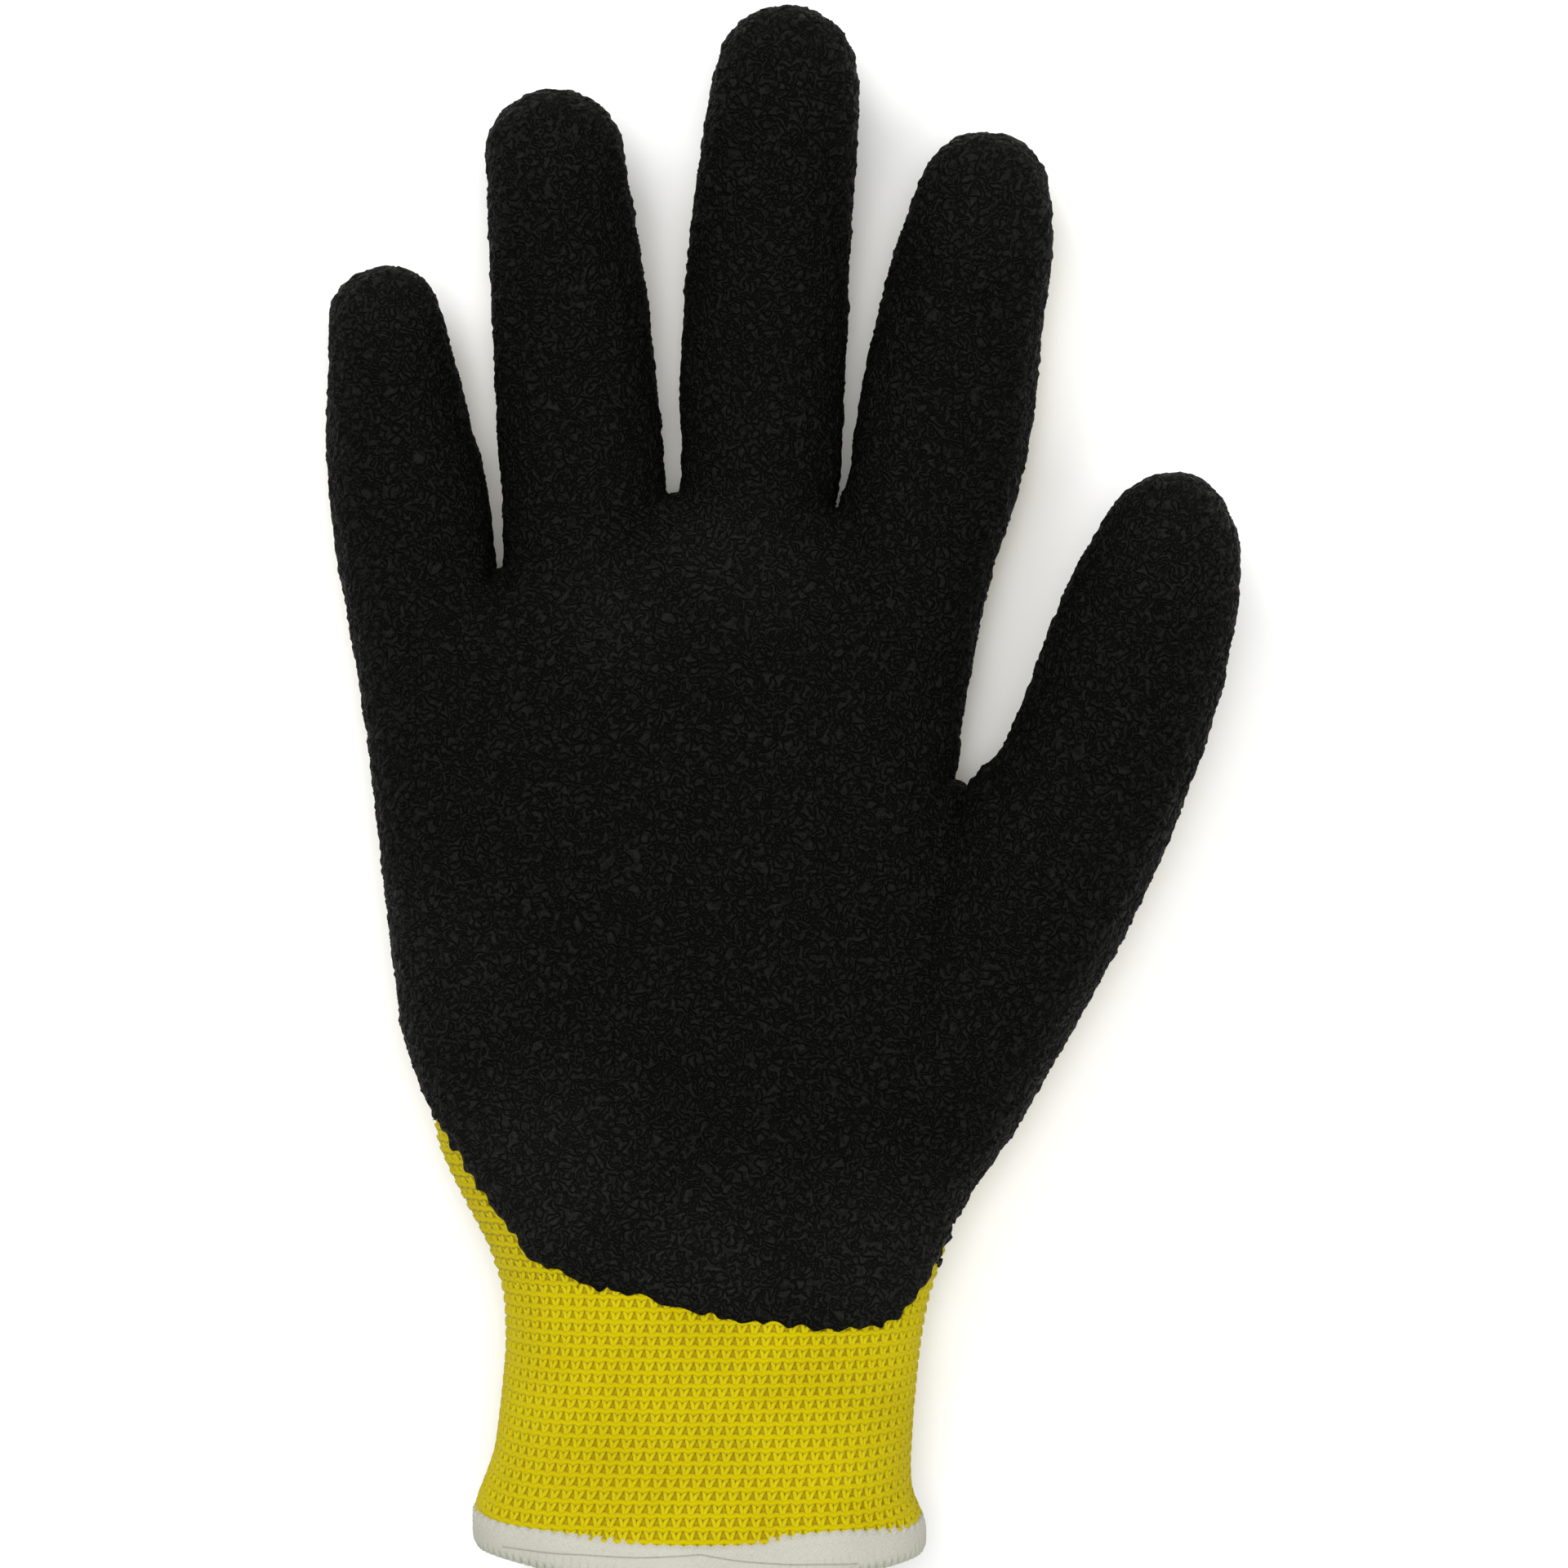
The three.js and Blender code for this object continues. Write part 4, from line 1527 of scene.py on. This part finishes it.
    def _stitches(self) -> list[tuple[Array, bool]]:
        """White stitches over the upper part of the band, one for each wale of the cuff."""
        across, along, out = Loop(points=8).path()
        lines = []
        for row in range(self.stitch_rows):
            base = BINDING_TOP - self.stitch_start - self.stitch_course * row
            share = ((np.arange(self.wales)[:, None] + 0.5 + across) / self.wales).ravel()
            y = base + self.stitch_course * np.tile(along, self.wales)
            height = np.tile(out / MM, self.wales) + self.proud + self.stitch_height
            lines.append((self._surface(share, self._risen(share, y), height), True))
        return lines

    def _thread(self) -> tuple[Array, bool]:
        """The thin grey thread that shows along the palm side of the band."""
        share = np.linspace(-0.5, 0.5, self.thread_points, endpoint=False)
        place = to_hand(self._surface(share, np.full(len(share), BINDING_TOP), np.zeros(len(share))))
        left, right, low = self.thread_shows
        shown = (place[:, 0] > left) & (place[:, 0] < right) & (place[:, 2] > low)
        share, place = share[shown], place[shown]
        below = np.interp(place[:, 0], self.thread_places, self.thread_depths)
        y = BINDING_TOP - below + self.thread_wander * roughness_of(place, 9.0, seed=2.0)
        return self._surface(share, y, np.full(len(share), self.proud + self.thread_height)), False


@dataclass(frozen=True)
class Lamp:
    """A soft square light that points at the glove."""

    name: str
    place: tuple[float, float, float]
    size: float
    power: float

    def build(self) -> None:
        """Makes the light."""
        lamp = bpy.data.lights.new(self.name, "AREA")
        lamp.size = self.size
        lamp.energy = self.power
        light = new_object(self.name, lamp)
        light.location = self.place
        light.rotation_euler = (-Vector(self.place)).to_track_quat("-Z", "Y").to_euler()


LAMPS = (
    Lamp("overhead", (-0.05, 0.1, 1.5), 0.7, 13.0),
    Lamp("key", (-0.7, 0.7, 1.2), 0.8, 10.0),
    Lamp("fill", (0.9, -0.5, 1.2), 1.0, 7.0),
)


@dataclass
class Studio:
    """Plain pale floor, soft light and the camera over the palm."""

    distance: float = 1.0
    photo_width: float = 0.2496
    plane: float = 0.018
    floor: float = 6.0
    floor_down: float = 0.6 * MM
    floor_shade: float = 0.92
    daylight: float = 0.49
    sensor: float = 36.0

    def build(self) -> None:
        """Makes the floor, the lights and the camera."""
        scene = bpy.context.scene
        scene.view_settings.view_transform = "Standard"
        scene.view_settings.look = "None"
        self._floor()
        self._world()
        for lamp in LAMPS:
            lamp.build()
        lens = bpy.data.cameras.new("camera")
        lens.sensor_width = self.sensor
        lens.lens = self.sensor * self.distance / self.photo_width
        camera = new_object("camera", lens)
        centre = to_frame([0.0, 0.0, 0.0])
        camera.location = (centre[0], centre[1], self.plane + self.distance)
        scene.camera = camera

    def _floor(self) -> None:
        """The floor."""
        work = bmesh.new()
        bmesh.ops.create_grid(work, x_segments=1, y_segments=1, size=self.floor / 2.0)
        bmesh.ops.translate(work, verts=work.verts, vec=(0.0, 0.0, -self.floor_down))
        floor = new_object("floor", new_mesh("floor", work))
        material = bpy.data.materials.new("pale floor")
        material.use_nodes = True
        shader = material.node_tree.nodes["Principled BSDF"]
        shade = self.floor_shade
        shader.inputs["Base Color"].default_value = (shade, shade, shade, 1.0)
        shader.inputs["Roughness"].default_value = 0.9
        floor.data.materials.append(material)

    def _world(self) -> None:
        """Even white light from all round."""
        world = bpy.data.worlds.new("studio")
        world.use_nodes = True
        background = world.node_tree.nodes["Background"]
        background.inputs["Color"].default_value = (1.0, 1.0, 1.0, 1.0)
        background.inputs["Strength"].default_value = self.daylight
        bpy.context.scene.world = world


def main() -> None:
    """Builds the glove and its studio, and reports each piece."""
    logging.basicConfig(level=logging.INFO, format="%(message)s")
    form = HandForm()
    form.build()
    dip = DipLine()
    KnitLiner(form, dip).build()
    LatexCoating(form, dip).build()
    CuffBinding(form).build()
    Studio().build()


if __name__ == "__main__":
    main()
